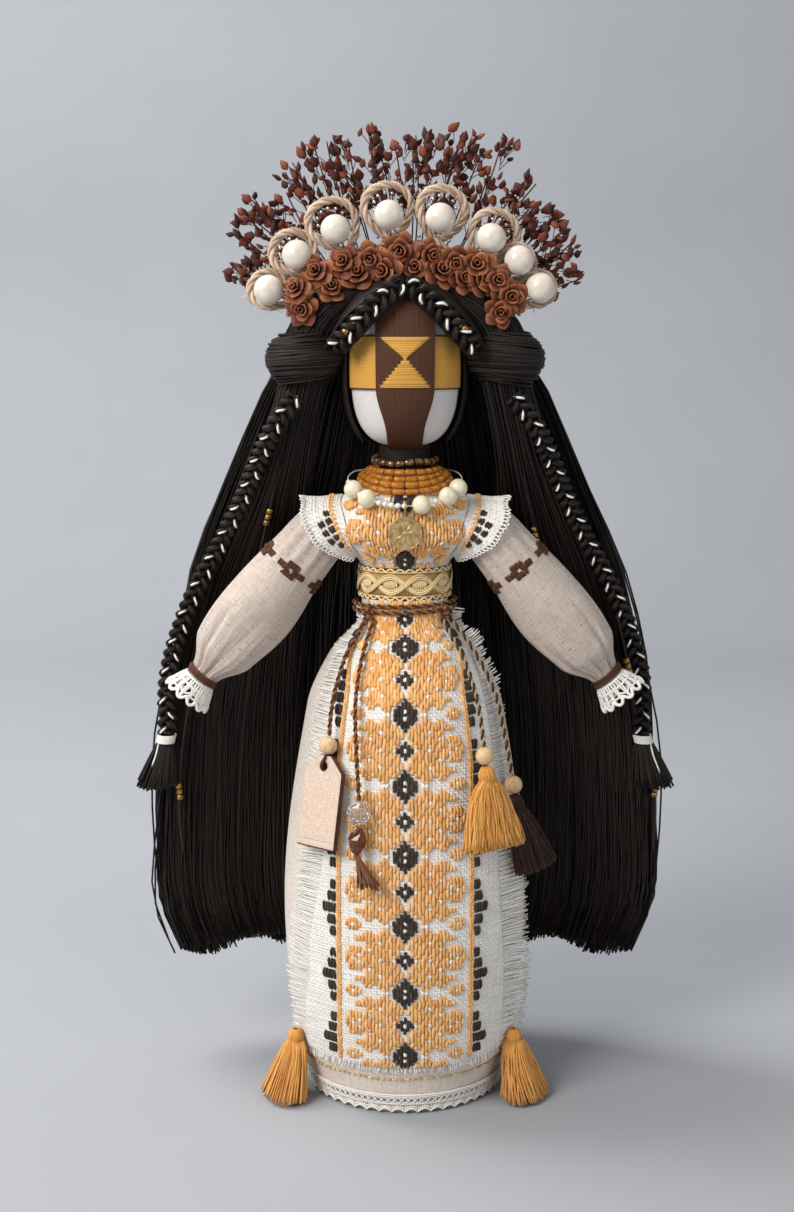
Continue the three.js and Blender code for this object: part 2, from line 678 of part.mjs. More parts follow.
const creamOff = 2 * amberOff + STRING_RADIUS;
const creamFront = amberLow - AMBER_RADIUS - CREAM_BEAD_RADIUS - 2.5;
const creamBack = amberSideLow - AMBER_RADIUS + 1;
const creamAt = strand(creamFront, creamBack, creamOff, 3.5);
const creamBeads = [-46, -28, 11, 33, 49].map((angle) =>
  ball(CREAM_BEAD_RADIUS, creamAt(angle), 8, 6),
);
const creamString = hoop(around(28).map(creamAt), STRING_RADIUS, 4);
add("cream_necklace", joined([creamString, ...creamBeads]), cream);

const hangPoint = creamAt(0);
const ringZ = hangPoint.z - (RING_RADIUS - RING_WIRE - STRING_RADIUS - CLEARANCE);
const pendantRing = solid(new THREE.TorusGeometry(RING_RADIUS, RING_WIRE, 5, 12))
  .rotate([90, 0, 90])
  .translate([hangPoint.x, hangPoint.y, ringZ]);
add("pendant_ring", pendantRing, brass);
const coinTop = ringZ - RING_RADIUS - RING_WIRE - CLEARANCE;
const coinClear = -CHEST_HALF_DEPTH - bodiceOut - CLEARANCE - COIN_THICKNESS / 2;
const coin = rod(COIN_RADIUS, -COIN_THICKNESS / 2, COIN_THICKNESS / 2, 24)
  .rotate([90, 0, 0])
  .translate([hangPoint.x, Math.min(hangPoint.y, coinClear), coinTop - COIN_RADIUS]);
add("coin", coin, brass);

// Side bunches of hair, the bands wound round them, and the cap
const bunchLow = bunchZ - (WRAP_TURNS * WRAP_PITCH) / 2 - WRAP_DIAMETER;
const bunchPath = [
  point(-6, -BUNCH_FORWARD, headTop - 2),
  point(-BUNCH_OUT * 0.5, -BUNCH_FORWARD, headTop - 8),
  point(-BUNCH_OUT * 0.9, -4, bunchZ + 13),
  point(-BUNCH_OUT, -2, bunchZ),
  point(-BUNCH_OUT - 2, 0, bunchLow - 2),
  point(-BUNCH_OUT - 8, 4, bunchLow - 18),
];
const bunchWidth = through([[0, 3], [0.25, 7], [0.48, 12], [0.6, 15], [0.8, 15], [1, 9]]);
const bunchShape = (grow) =>
  limb(bunchPath, steps(10, 0, 1), 10, (at) => {
    const share = bunchWidth(at) / 15;
    return [BUNCH_HALF_WIDTH * share + grow, BUNCH_HALF_DEPTH * share + grow];
  });
const bunch = bunchShape(0).subtract(headShape(3 * bandsOut + CLEARANCE));
const wrapPoints = steps(WRAP_TURNS * 14, 0, WRAP_TURNS).map((turn) => {
  const out = 2 + WRAP_DIAMETER / 2;
  const angle = 2 * Math.PI * turn;
  return point(
    -BUNCH_OUT - 0.6 + (BUNCH_HALF_WIDTH + out) * Math.cos(angle),
    -1.6 + (BUNCH_HALF_DEPTH + out) * Math.sin(angle),
    bunchZ + WRAP_PITCH * (turn - WRAP_TURNS / 2),
  );
});
leastGap(wrapPoints, WRAP_DIAMETER, "hair_wrap");
const wrap = cord(wrapPoints, WRAP_DIAMETER, WRAP_TURNS * 14, 4);
addPair("hair_bunch", bunch, hairBlack);
addPair("hair_wrap", wrap, hairBlack);

const faceWindow = prism(
  [
    [0, headTop - 3],
    [HEAD_RADIUS + capOut + 4, bunchZ + 8],
    [HEAD_RADIUS + capOut + 4, headBottom - 30],
    [-HEAD_RADIUS - capOut - 4, headBottom - 30],
    [-HEAD_RADIUS - capOut - 4, bunchZ + 8],
  ],
  -3 * HEAD_RADIUS,
  HEAD_RADIUS * 0.35,
);
const wrapRoom = limb(
  [point(-BUNCH_OUT - 0.6, -1.6, bunchLow - 1), point(-BUNCH_OUT - 0.6, -1.6, 2 * bunchZ - bunchLow)],
  [0, 1],
  24,
  () => [BUNCH_HALF_WIDTH + 4.4, BUNCH_HALF_DEPTH + 4.4],
);
const hairCap = headShape(capOut)
  .subtract(headShape(capIn))
  .subtract(faceWindow)
  .subtract(rod(2 * HEAD_RADIUS, 0, headBottom + 10))
  .subtract(bunchShape(CLEARANCE))
  .subtract(mirrored(bunchShape(CLEARANCE)))
  .subtract(wrapRoom)
  .subtract(mirrored(wrapRoom));
add("hair_cap", hairCap, hairBlack);

// Hair down the back: a sheet from the head to below the belly, in upright hanks
const hairTop = headMiddle + 20;
const hairHeadY = HEAD_RADIUS + capOut + CLEARANCE + HAIR_THICKNESS / 2;
const hairBellyY = BELLY_RADIUS + LOOSE + HAIR_THICKNESS / 2;
const hairBackY = through([
  [HAIR_BOTTOM, hairBellyY],
  [BELLY_HEIGHT + 20, hairBellyY],
  [headMiddle - 12, hairHeadY],
  [hairTop, hairHeadY],
]);
const hairHalfWidth = through([
  [HAIR_BOTTOM, HAIR_SPREAD * 0.9],
  [HAIR_BOTTOM + 36, HAIR_SPREAD],
  [WAIST_HEIGHT * 0.62, HAIR_SPREAD * 0.985],
  [WAIST_HEIGHT, HAIR_SPREAD * 0.86],
  [neckBase, HAIR_SPREAD * 0.68],
  [bunchZ, BUNCH_OUT + BUNCH_HALF_WIDTH],
  [hairTop, BUNCH_OUT],
]);
const hairPlace = (share, z, off) =>
  point(
    share * hairHalfWidth(z),
    hairBackY(z) + (hairSideY - hairBackY(z)) * share * share + off,
    z,
  );
const hankHeights = steps(7, HAIR_BOTTOM, hairTop);
for (let i = 0; i < HANKS; i++) {
  const [from, to] = [-1 + (2 * i) / HANKS, -1 + (2 * (i + 1)) / HANKS];
  const rings = hankHeights.map((z) => {
    const inset = CLEARANCE / 2 / hairHalfWidth(z);
    const shares = steps(4, from + inset, to - inset);
    const half = shares.map((_, j) => (HAIR_THICKNESS / 2) * (j % 4 === 0 ? 0.6 : 1));
    const front = shares.map((share, j) => hairPlace(share, z, -half[j]));
    const back = shares.map((share, j) => hairPlace(share, z, half[j])).reverse();
    return [...front, ...back];
  });
  add(`hair_hank_${i + 1}`, strip(rings), hairBlack);
}

// Braids hang in front of the hair and behind the arms
const braidTop = point(-BUNCH_OUT - 4, -BUNCH_HALF_DEPTH - 3.4, bunchLow - CLEARANCE - BRAID_RADIUS);
const braidPath = [
  braidTop,
  point(-BUNCH_OUT - 13, -BUNCH_HALF_DEPTH - 1, braidTop.z - 12),
  point(-BUNCH_OUT - 21, -2, braidTop.z - 27),
  point(-BUNCH_OUT - 29.5, braidY - 8, braidTop.z - 46),
  point(-BUNCH_OUT - 40, braidY, braidTop.z - 66),
  point(-BUNCH_OUT - 56, braidY, braidTop.z - 97),
  point(-BUNCH_OUT - 66, braidY, braidTop.z - 130),
  point(-BRAID_END_OUT, braidY, BRAID_END_DROP),
];
const braidDown = point(-0.24, 0, -1).normalize();
const tuftEnd = braidPath.at(-1).clone().addScaledVector(braidDown, BRAID_TIE_WIDTH + BRAID_TUFT);
const braidCurve = new THREE.CatmullRomCurve3([...braidPath, tuftEnd]);
const braidLength = braidCurve.getLength();
const tieFirst = 1 - (BRAID_TIE_WIDTH + BRAID_TUFT) / braidLength;
const tieLast = 1 - BRAID_TUFT / braidLength;
const braidNeck = BRAID_RADIUS * 0.6;
const braidSize = through([
  [0, BRAID_RADIUS * 0.8],
  [0.07, BRAID_RADIUS],
  [tieFirst - 0.03, BRAID_RADIUS],
  [tieFirst, braidNeck],
  [tieLast, braidNeck],
  [(1 + tieLast) / 2, BRAID_RADIUS * 1.1],
  [1, BRAID_RADIUS * 0.5],
]);
const braidStops = [
  ...steps(14, 0, tieFirst - 0.03),
  ...[tieFirst, tieLast],
  ...steps(3, tieLast + 0.03, 1),
];
const braidRing = (at, radius) => ovalAcross(braidCurve, at, radius, radius, 7);
addPair("braid", loft(braidStops.map((at) => braidRing(at, braidSize(at)))), hairBlack);
const [braidTieIn, braidTieOut] = [braidNeck + CLEARANCE, BRAID_RADIUS * 0.95];
const braidTie = loft(
  [
    braidRing(tieFirst, braidTieIn),
    braidRing(tieFirst, braidTieOut),
    braidRing(tieLast, braidTieOut),
    braidRing(tieLast, braidTieIn),
  ],
  true,
);
addPair("braid_tie", braidTie, whiteCloth);

// Crown: a band over the hair, roses in front, looped twine and grass behind
const crownZ = headMiddle + 4;
const crownUp = headTop + capOut + CLEARANCE - crownZ;
const crownAcross = crownUp + CROWN_SIDE;
const crownPlace = (angle, out, y) => {
  const turn = radians(angle);
  return point((crownAcross + out) * Math.cos(turn), y, crownZ + (crownUp + out) * Math.sin(turn));
};
const arcStrip = (from, to, low, high, front, back, count) =>
  loft(
    steps(count, from, to).map((angle) => [
      crownPlace(angle, low, front),
      crownPlace(angle, high, front),
      crownPlace(angle, high, back),
      crownPlace(angle, low, back),
    ]),
  );
const bandHalf = CROWN_BAND_DEPTH / 2;
add("crown_band", arcStrip(35, 145, 0, CROWN_BAND, -bandHalf, bandHalf, 12), jute);

const loopDeep = JUTE_DIAMETER * 0.58 * 2;
const loopBase = CROWN_BAND + CLEARANCE + JUTE_DIAMETER / 2;
const loops = LOOP_ANGLES.length;
const perLoop = (first, values, last) =>
  through([[0, first], ...values.map((value, i) => [i + 0.5, value]), [loops, last]]);
const loopAlong = perLoop(LOOP_ANGLES[0] + LOOP_END, LOOP_ANGLES, LOOP_ANGLES.at(-1) - LOOP_END);
const loopRadius = perLoop(LOOP_RADII[0], LOOP_RADII, LOOP_RADII.at(-1));
const loopPoints = steps(loops * 18, 0, loops).map((turn) => {
  const angle = 2 * Math.PI * turn;
  const radius = loopRadius(turn);
  const swing = (0.9 * radius * Math.sin(angle) * 180) / Math.PI / (crownUp + 8);
  const out = loopBase + radius * (1 - Math.cos(angle));
  return crownPlace(loopAlong(turn) - swing, out, loopDeep * Math.sin(angle));
});
leastGap(loopPoints, JUTE_DIAMETER, "jute_loops");
add("jute_loops", cord(loopPoints, JUTE_DIAMETER, loops * 18, 5), jute);

const loopFront = -loopDeep - JUTE_DIAMETER / 2;
const roseY = loopFront - CLEARANCE - ROSE_RADIUS;
const roseArc = steps(2 * ROSES, 150, 30).map((angle) => crownPlace(angle, CROWN_BAND + 1.2, roseY));
const roseStops = steps(2 * ROSES, 0, 1);
const rosePath = new THREE.CatmullRomCurve3(roseArc);
const roseRings = roseStops.map((at, i) => {
  const radius = ROSE_RADIUS * (i % 2 ? 1 : 0.7);
  return ovalAcross(rosePath, at, radius, radius, 7);
});
add("rose_garland", loft(roseRings), rust);

const beadY = loopFront - BEAD_WIRE - CROWN_BEAD_FORWARD;
const beadOut = loopBase + Math.max(...LOOP_RADII) * 0.95;
const beadWire = cord(
  steps(16, LOOP_ANGLES[0], LOOP_ANGLES.at(-1)).map((angle) => crownPlace(angle, beadOut, beadY)),
  2 * BEAD_WIRE,
  16,
  4,
);
const crownBeads = LOOP_ANGLES.map((angle) =>
  ball(CROWN_BEAD_RADIUS, crownPlace(angle, beadOut, beadY), 8, 6),
);
add("crown_beads", joined([beadWire, ...crownBeads]), cream);

const grassY = loopDeep + JUTE_DIAMETER / 2 + CLEARANCE + 2.4;
const grassRoot = arcStrip(30, 150, CROWN_BAND, CROWN_BAND + 4, grassY - 1.2, grassY + 1.2, 12);
const sprigRows = [[0, 1.2], [0.3, 1], [0.42, 4], [0.55, 2.6], [0.68, 4.6], [0.84, 3], [0.93, 2.6], [1, 0.5]];
const sprigs = steps(SPRIGS - 1, 148, 32).map((angle, i) => {
  const reach = SPRIG_LENGTH * [1, 0.88, 0.95][i % 3] * (0.7 + 0.3 * Math.sin(radians(angle)));
  const start = crownPlace(angle, CROWN_BAND + 2, grassY);
  const end = crownPlace(angle, CROWN_BAND + 2 + reach, grassY + 2);
  const size = (at) => sprigRows.find(([place]) => place === at)[1];
  return limb([start, end], sprigRows.map(([at]) => at), 4, (at) => [size(at), size(at)]);
});
add("dried_grass", joined([grassRoot, ...sprigs]), driedGrass);

// Cords that hang from the waist over the apron, each with what is strung below its end
const overApron = (radius) => apronOuter + SURFACE_GAP + radius;
function addHanging(name, startAngle, angle, drop, off) {
  const end = WAIST_HEIGHT - drop;
  const start = waistCordBottom - CORD_DIAMETER / 2;
  const line = steps(6, 0, 1).map((share) =>
    onSkirt(
      startAngle + (angle - startAngle) * share ** 0.7,
      start + (end - start) * share,
      overApron(CORD_DIAMETER / 2) * (1 - share) + off * share,
    ),
  );
  add(`cord_${name}`, cord(line, CORD_DIAMETER, Math.ceil((start - end) / 4)), darkBrown);
  const down = onSkirt(angle, end - 10, off).sub(onSkirt(angle, end, off)).normalize();
  return { angle, tip: line.at(-1), down };
}
const below = ({ tip, down }, distance) => tip.clone().addScaledVector(down, distance);
// Turns a piece modelled hanging from the origin, facing -Y, to hang in line below a cord's tip.
function strung(made, hanging, distance) {
  const lean = (Math.asin(Math.hypot(hanging.down.x, hanging.down.y)) * 180) / Math.PI;
  return made
    .rotate([-lean, 0, 0])
    .rotate([0, 0, hanging.angle])
    .translate(below(hanging, distance).toArray());
}
const beadMiddle = CLEARANCE + WOOD_BEAD_RADIUS;
const belowBead = beadMiddle + WOOD_BEAD_RADIUS + CLEARANCE;
const woodBead = (hanging) => ball(WOOD_BEAD_RADIUS, below(hanging, beadMiddle), 8, 6);

const tagHang = addHanging("tag", -48, TAG_ANGLE, TAG_CORD_DROP, overApron(WOOD_BEAD_RADIUS));
add("wood_bead_tag", woodBead(tagHang), paleWood);
const tagOutline = [
  [-TAG_WIDTH / 2 + TAG_CHAMFER, 0],
  [TAG_WIDTH / 2 - TAG_CHAMFER, 0],
  [TAG_WIDTH / 2, -TAG_CHAMFER],
  [TAG_WIDTH / 2, -TAG_LENGTH],
  [-TAG_WIDTH / 2, -TAG_LENGTH],
  [-TAG_WIDTH / 2, -TAG_CHAMFER],
];
const tagHole = rod(TAG_HOLE_RADIUS, -TAG_THICKNESS, TAG_THICKNESS, 12)
  .rotate([90, 0, 0])
  .translate([0, 0, -TAG_HOLE_RADIUS - 2.5]);
const tagPlate = prism(tagOutline, -TAG_THICKNESS / 2, TAG_THICKNESS / 2).subtract(tagHole);
add("tag", strung(tagPlate, tagHang, belowBead), paleWood);

const crystalOff = overApron(CRYSTAL_RADIUS);
const crystalHang = addHanging("crystal", -36, CRYSTAL_ANGLE, CRYSTAL_CORD_DROP, crystalOff);
const crystalMiddle = CLEARANCE + CRYSTAL_RADIUS;
add("crystal_bead", ball(CRYSTAL_RADIUS, below(crystalHang, crystalMiddle), 10, 6), clear);
const dropOutline = [
  [0, 0],
  [1.6, 0],
  [DROP_RADIUS, -DROP_LENGTH * 0.62],
  [DROP_RADIUS * 0.6, -DROP_LENGTH],
  [1.4, -DROP_LENGTH],
  [2.2, -DROP_LENGTH - FRAY_LENGTH * 0.3],
  [3.4, -DROP_LENGTH - FRAY_LENGTH],
  [0, -DROP_LENGTH - FRAY_LENGTH],
];
const dropFrom = crystalMiddle + CRYSTAL_RADIUS + CLEARANCE;
add("drop_bead", strung(turned(dropOutline, 10), crystalHang, dropFrom), amber);

// Tassel: bound neck and a flat flared skirt of yarn, modelled hanging from the origin
function tassel(length, halfWidth, halfDepth) {
  const rows = [
    [0, 0.12, 0.3],
    [-0.04, 0.3, 0.62],
    [-0.16, 0.32, 0.66],
    [-0.2, 0.26, 0.55],
    [-0.34, 0.5, 0.85],
    [-0.8, 0.92, 1],
    [-1, 1, 0.85],
  ];
  return loft(
    rows.map(([at, wide, deep]) => oval(halfWidth * wide, halfDepth * deep, at * length, 10)),
  );
}
const yarnTassel = tassel(TASSEL_LENGTH, TASSEL_HALF_WIDTH, TASSEL_HALF_DEPTH);
const goldOff = overApron(WOOD_BEAD_RADIUS) + GOLD_FORWARD;
const goldHang = addHanging("gold", 44, GOLD_ANGLE, GOLD_CORD_DROP, goldOff);
add("wood_bead_gold", woodBead(goldHang), paleWood);
add("tassel_gold", strung(yarnTassel, goldHang, belowBead), mustard);
const darkHang = addHanging("dark", 58, DARK_ANGLE, DARK_CORD_DROP, overApron(WOOD_BEAD_RADIUS));
add("wood_bead_dark", woodBead(darkHang), paleWood);
add("tassel_dark", strung(yarnTassel, darkHang, belowBead), darkBrown);

// Tassels at the lower corners of the apron
const hemTasselTop = APRON_BOTTOM + 8;
const hemTasselOff = apronOuter + HEM_TASSEL_RADIUS * 0.19;
const hemTassel = tassel(HEM_TASSEL_LENGTH, HEM_TASSEL_RADIUS, HEM_TASSEL_RADIUS * 0.5)
  .rotate([0, 0, -HEM_TASSEL_ANGLE])
  .translate(onSkirt(-HEM_TASSEL_ANGLE, hemTasselTop, hemTasselOff).toArray());
addPair("hem_tassel", hemTassel, mustard);

export default group;
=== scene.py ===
# %% [markdown]
# # A wound folk art doll
#
# The doll is wound and sewn from linen, yarn, thread, beads and folded paper, and stands on its skirt.
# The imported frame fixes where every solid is. This lesson dresses those solids: yarns become tubes along
# paths, cloth becomes thin closed sheets, and embroidery becomes raised stitches that follow a chart.
# All sizes are in millimetres until a mesh is made, as on a maker's cutting sheet.

import re
from collections import namedtuple
from functools import partial

import bmesh
import bpy
import numpy as np
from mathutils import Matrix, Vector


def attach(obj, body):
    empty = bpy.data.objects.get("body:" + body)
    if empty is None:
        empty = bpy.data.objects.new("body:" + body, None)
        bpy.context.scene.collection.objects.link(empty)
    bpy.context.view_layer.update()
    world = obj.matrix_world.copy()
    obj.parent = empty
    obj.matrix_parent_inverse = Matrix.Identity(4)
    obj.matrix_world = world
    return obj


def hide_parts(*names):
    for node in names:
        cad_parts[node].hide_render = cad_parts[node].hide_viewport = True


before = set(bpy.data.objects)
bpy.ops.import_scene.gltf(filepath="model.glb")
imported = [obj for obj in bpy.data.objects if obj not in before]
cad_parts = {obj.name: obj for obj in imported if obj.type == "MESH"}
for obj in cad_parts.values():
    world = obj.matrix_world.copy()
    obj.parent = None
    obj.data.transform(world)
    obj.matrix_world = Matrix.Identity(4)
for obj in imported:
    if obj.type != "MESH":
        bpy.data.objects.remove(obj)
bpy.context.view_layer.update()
MM = 0.001
rng = np.random.default_rng(11)

# %% [markdown]
# ## Curves
#
# A turned or sewn outline is drawn by a few knots with a smooth line through them. A spline may swing past
# its knots and bulge, so the outlines use a monotone cubic, which never does. Routes in space through listed
# points use a cubic for each coordinate, read again at even steps so that tubes have even rings.

# %% Outlines and routes
def hermite(x, y, slope, at):
    """Cubic between knots: the usual four blending polynomials of the share of the way to the next knot."""
    i = np.clip(np.searchsorted(x, at, side="right") - 1, 0, len(x) - 2)
    span = x[i + 1] - x[i]
    t = np.clip((at - x[i]) / span, 0, 1)
    if y.ndim == 2:
        span, t = span[:, None], t[:, None]
    start = (2 * t**3 - 3 * t**2 + 1) * y[i] + (t**3 - 2 * t**2 + t) * span * slope[i]
    return start + (3 * t**2 - 2 * t**3) * y[i + 1] + (t**3 - t**2) * span * slope[i + 1]


def through(places, values):
    """Outline through knots: an inner slope is the harmonic mean of those beside it, or 0 at a turn."""
    x, y = np.array(places, float), np.array(values, float)
    rise = np.diff(y) / np.diff(x)
    before, after = rise[:-1], rise[1:]
    same = before * after > 0
    inner = np.where(same, 2 * before * after / np.where(same, before + after, 1), 0)
    slope = np.concatenate([rise[:1], inner, rise[-1:]])
    return lambda at: hermite(x, y, slope, np.clip(np.asarray(at, float), x[0], x[-1]))


def spot(x, y, z):
    """Points from three coordinates that are numbers or arrays."""
    return np.stack(np.broadcast_arrays(x, y, z), axis=-1).astype(float)


def circle(count):
    """Angles of count even steps round a circle."""
    return np.linspace(0, 2 * np.pi, count, endpoint=False)


def round_z(radius, angle, z):
    """Points round the upright axis; angle 0 is the front."""
    return spot(radius * np.sin(angle), -radius * np.cos(angle), z)


def shares(count):
    """Even shares from 0 to 1, as a row."""
    return np.linspace(0, 1, count)[None]


def flat_map(across, down):
    """Flat places of a cloth's points, from two coordinates."""
    return np.stack(np.broadcast_arrays(across, down), axis=-1)


def mirrored(points, sign):
    """Points of the right side, turned over to the left when sign is -1."""
    return np.array(points) * [sign, 1, 1]


def unit(vectors):
    """Vectors cut to a length of 1."""
    return vectors / np.linalg.norm(vectors, axis=-1, keepdims=True)


def lengths(line):
    """Distance along a line at each of its points."""
    return np.concatenate([[0], np.cumsum(np.linalg.norm(np.diff(line, axis=0), axis=1))])


def route(points, count):
    """Smooth line through points, by the chord length between them, read at even distances."""
    points = np.array(points, float)
    chord = lengths(points)
    fine = hermite(chord, points, np.gradient(points, chord, axis=0), np.linspace(0, chord[-1], 600))
    run = lengths(fine)
    even = np.linspace(0, run[-1], count)
    return np.stack([np.interp(even, run, fine[:, k]) for k in range(3)], axis=-1)


def ease(low, high, at):
    """Smooth step from 0 at low to 1 at high."""
    t = np.clip((np.asarray(at, float) - low) / (high - low), 0, 1)
    return t * t * (3 - 2 * t)


# %% [markdown]
# ## Meshes from grids
#
# Two builders make nearly everything. A grid of points is a surface, and may close on itself in either
# direction. A batch of paths becomes a batch of tubes in one array operation, which is how thousands of
# yarns stay quick. Each point carries a tone, a number from 0 to 1 that the dyes read later.

# %% Grids and strands
Shape = namedtuple("Shape", "points faces tone cloth")


def quads_of(rows, cols, wrap_rows, wrap_cols):
    """Corner numbers of the quads of a grid whose points are counted row by row."""
    i = np.arange(rows if wrap_rows else rows - 1)[:, None]
    j = np.arange(cols if wrap_cols else cols - 1)[None]
    up, side = (i + 1) % rows, (j + 1) % cols
    corners = (i * cols + j, i * cols + side, up * cols + side, up * cols + j)
    return np.stack(np.broadcast_arrays(*corners), axis=-1).reshape(-1, 4)


def patch(points, wrap_rows=False, wrap_cols=False, tone=0.5, cloth=None):
    """Surface on a grid (rows, cols, 3); cloth is its flat map in millimetres."""
    rows, cols, _ = points.shape
    faces = [quads_of(rows, cols, wrap_rows, wrap_cols)]
    tones = np.broadcast_to(tone, (rows, cols)).ravel()
    flat = np.zeros((rows * cols, 2)) if cloth is None else cloth.reshape(-1, 2)
    return Shape(points.reshape(-1, 3), faces, tones, flat)


def slab(front, back, tone=0.5, cloth=None):
    """Closed sheet between two grids of one size: each row runs along the front and back along the back."""
    rows, cols, _ = front.shape
    loop = np.concatenate([front, back[:, ::-1]], axis=1)
    tones = np.broadcast_to(tone, (rows, cols))
    tones = np.concatenate([tones, tones[:, ::-1]], axis=1)
    flat = None if cloth is None else np.concatenate([cloth, cloth[:, ::-1]], axis=1)
    made = patch(loop, wrap_cols=True, tone=tones, cloth=flat)
    k = np.arange(cols - 1)
    low = np.stack([k, 2 * cols - 1 - k, 2 * cols - 2 - k, k + 1], axis=-1)
    high = low[:, ::-1] + (rows - 1) * 2 * cols
    return made._replace(faces=[*made.faces, low, high])


def frames(paths, closed=False):
    """Normal and binormal along (n, m, 3) paths; the normal is carried on, so tubes don't twist."""
    if closed:
        tangent = unit(np.roll(paths, -1, axis=1) - np.roll(paths, 1, axis=1))
    else:
        tangent = unit(np.gradient(paths, axis=1))
    carried = np.where(np.abs(tangent[:, 0, 2:3]) < 0.8, [[0.0, 0.0, 1.0]], [[0.0, 1.0, 0.0]])
    normal = np.empty_like(paths)
    for i in range(paths.shape[1]):
        along = tangent[:, i]
        carried = unit(carried - (carried * along).sum(-1, keepdims=True) * along)
        normal[:, i] = carried
    return normal, np.cross(tangent, normal)


def strands(paths, radius, sides=4, tone=0.5, closed=False):
    """Tubes along (n, m, 3) paths: ring point = path point + radius (cos a normal + sin a binormal)."""
    paths = np.asarray(paths, float)
    paths = paths[None] if paths.ndim == 2 else paths
    n, m, _ = paths.shape
    normal, binormal = frames(paths, closed)
    angle = circle(sides)[:, None]
    ring = np.cos(angle) * normal[:, :, None] + np.sin(angle) * binormal[:, :, None]
    reach = np.broadcast_to(radius, (n, m))[..., None, None]
    points = paths[:, :, None] + reach * ring
    first = (np.arange(n) * m * sides)[:, None, None]
    faces = [(quads_of(m, sides, closed, True)[None] + first).reshape(-1, 4)]
    if not closed:
        cap = np.arange(sides)
        faces.append((cap[::-1] + first[:, 0]).reshape(-1, sides))
        faces.append((cap + (m - 1) * sides + first[:, 0]).reshape(-1, sides))
    tones = np.repeat(np.broadcast_to(tone, (n, m)).ravel(), sides)
    return Shape(points.reshape(-1, 3), faces, tones, np.zeros((n * m * sides, 2)))


def merge(*shapes):
    """One shape from several: corner numbers move up by the points that come before."""
    start = np.cumsum([0] + [len(s.points) for s in shapes])
    faces = [f + first for s, first in zip(shapes, start) for f in s.faces]
    joined = [np.concatenate([getattr(s, part) for s in shapes]) for part in ("points", "tone", "cloth")]
    return Shape(joined[0], faces, joined[1], joined[2])


def draw(low, high, count):
    """A random number for each of count strands, as a column."""
    return rng.uniform(low, high, (count, 1))


def scatter(count, power=0.5):
    """Random places in a circle of radius 1, as two columns: the radius is a random share to a power."""
    bearing = draw(0, 2 * np.pi, count)
    far = draw(0, 1, count) ** power
    return far * np.cos(bearing), far * np.sin(bearing)


def tones(count, low=0.2, high=0.8):
    """A random tone for each of count strands."""
    return draw(low, high, count)


# %% Twists and beads
def ply(line, radius, count, pitch, tone):
    """Twisted cord: each ply circles the line once every pitch, count plies evenly spread round it."""
    normal, binormal = frames(line[None])
    each = radius / (1 + 1 / np.sin(np.pi / count))
    turn = 2 * np.pi * (lengths(line)[None] / pitch + np.arange(count)[:, None] / count)
    out = radius - each
    paths = line + out * (np.cos(turn)[..., None] * normal + np.sin(turn)[..., None] * binormal)
    return strands(paths, each, 6, np.reshape(tone, (-1, 1)))


def balls(centres, radius, sides, rows, stretch=(1, 1, 1)):
    """Round beads: a sphere's latitude and longitude grid, scaled by stretch and moved to each centre."""
    high = np.linspace(-np.pi / 2, np.pi / 2, rows)[:, None]
    turn = circle(sides)[None]
    one = spot(np.cos(high) * np.cos(turn), np.cos(high) * np.sin(turn), np.sin(high)) * stretch
    return merge(*[patch(centre + radius * one, wrap_cols=True) for centre in centres])


def drilled(centre, axis, radius, hole):
    """Bead with a bore: an arc from rim to rim of the bore, and back through it, turned round axis."""
    sides, rows = 28, 16
    end = np.arcsin(hole / radius)
    high = np.linspace(-np.pi / 2 + end, np.pi / 2 - end, rows)
    inner = np.linspace(1, -1, 4)[1:-1] * radius * np.cos(end)
    reach = np.concatenate([radius * np.cos(high), np.full(2, hole)])
    rise = np.concatenate([radius * np.sin(high), inner])
    axis = unit(np.array(axis, float))
    side = unit(np.cross(axis, [0.31, 0.9, 0.2]))
    turn = circle(sides)[None, :, None]
    ring = np.cos(turn) * side + np.sin(turn) * np.cross(axis, side)
    return patch(np.array(centre) + reach[:, None, None] * ring + rise[:, None, None] * axis, True, True)
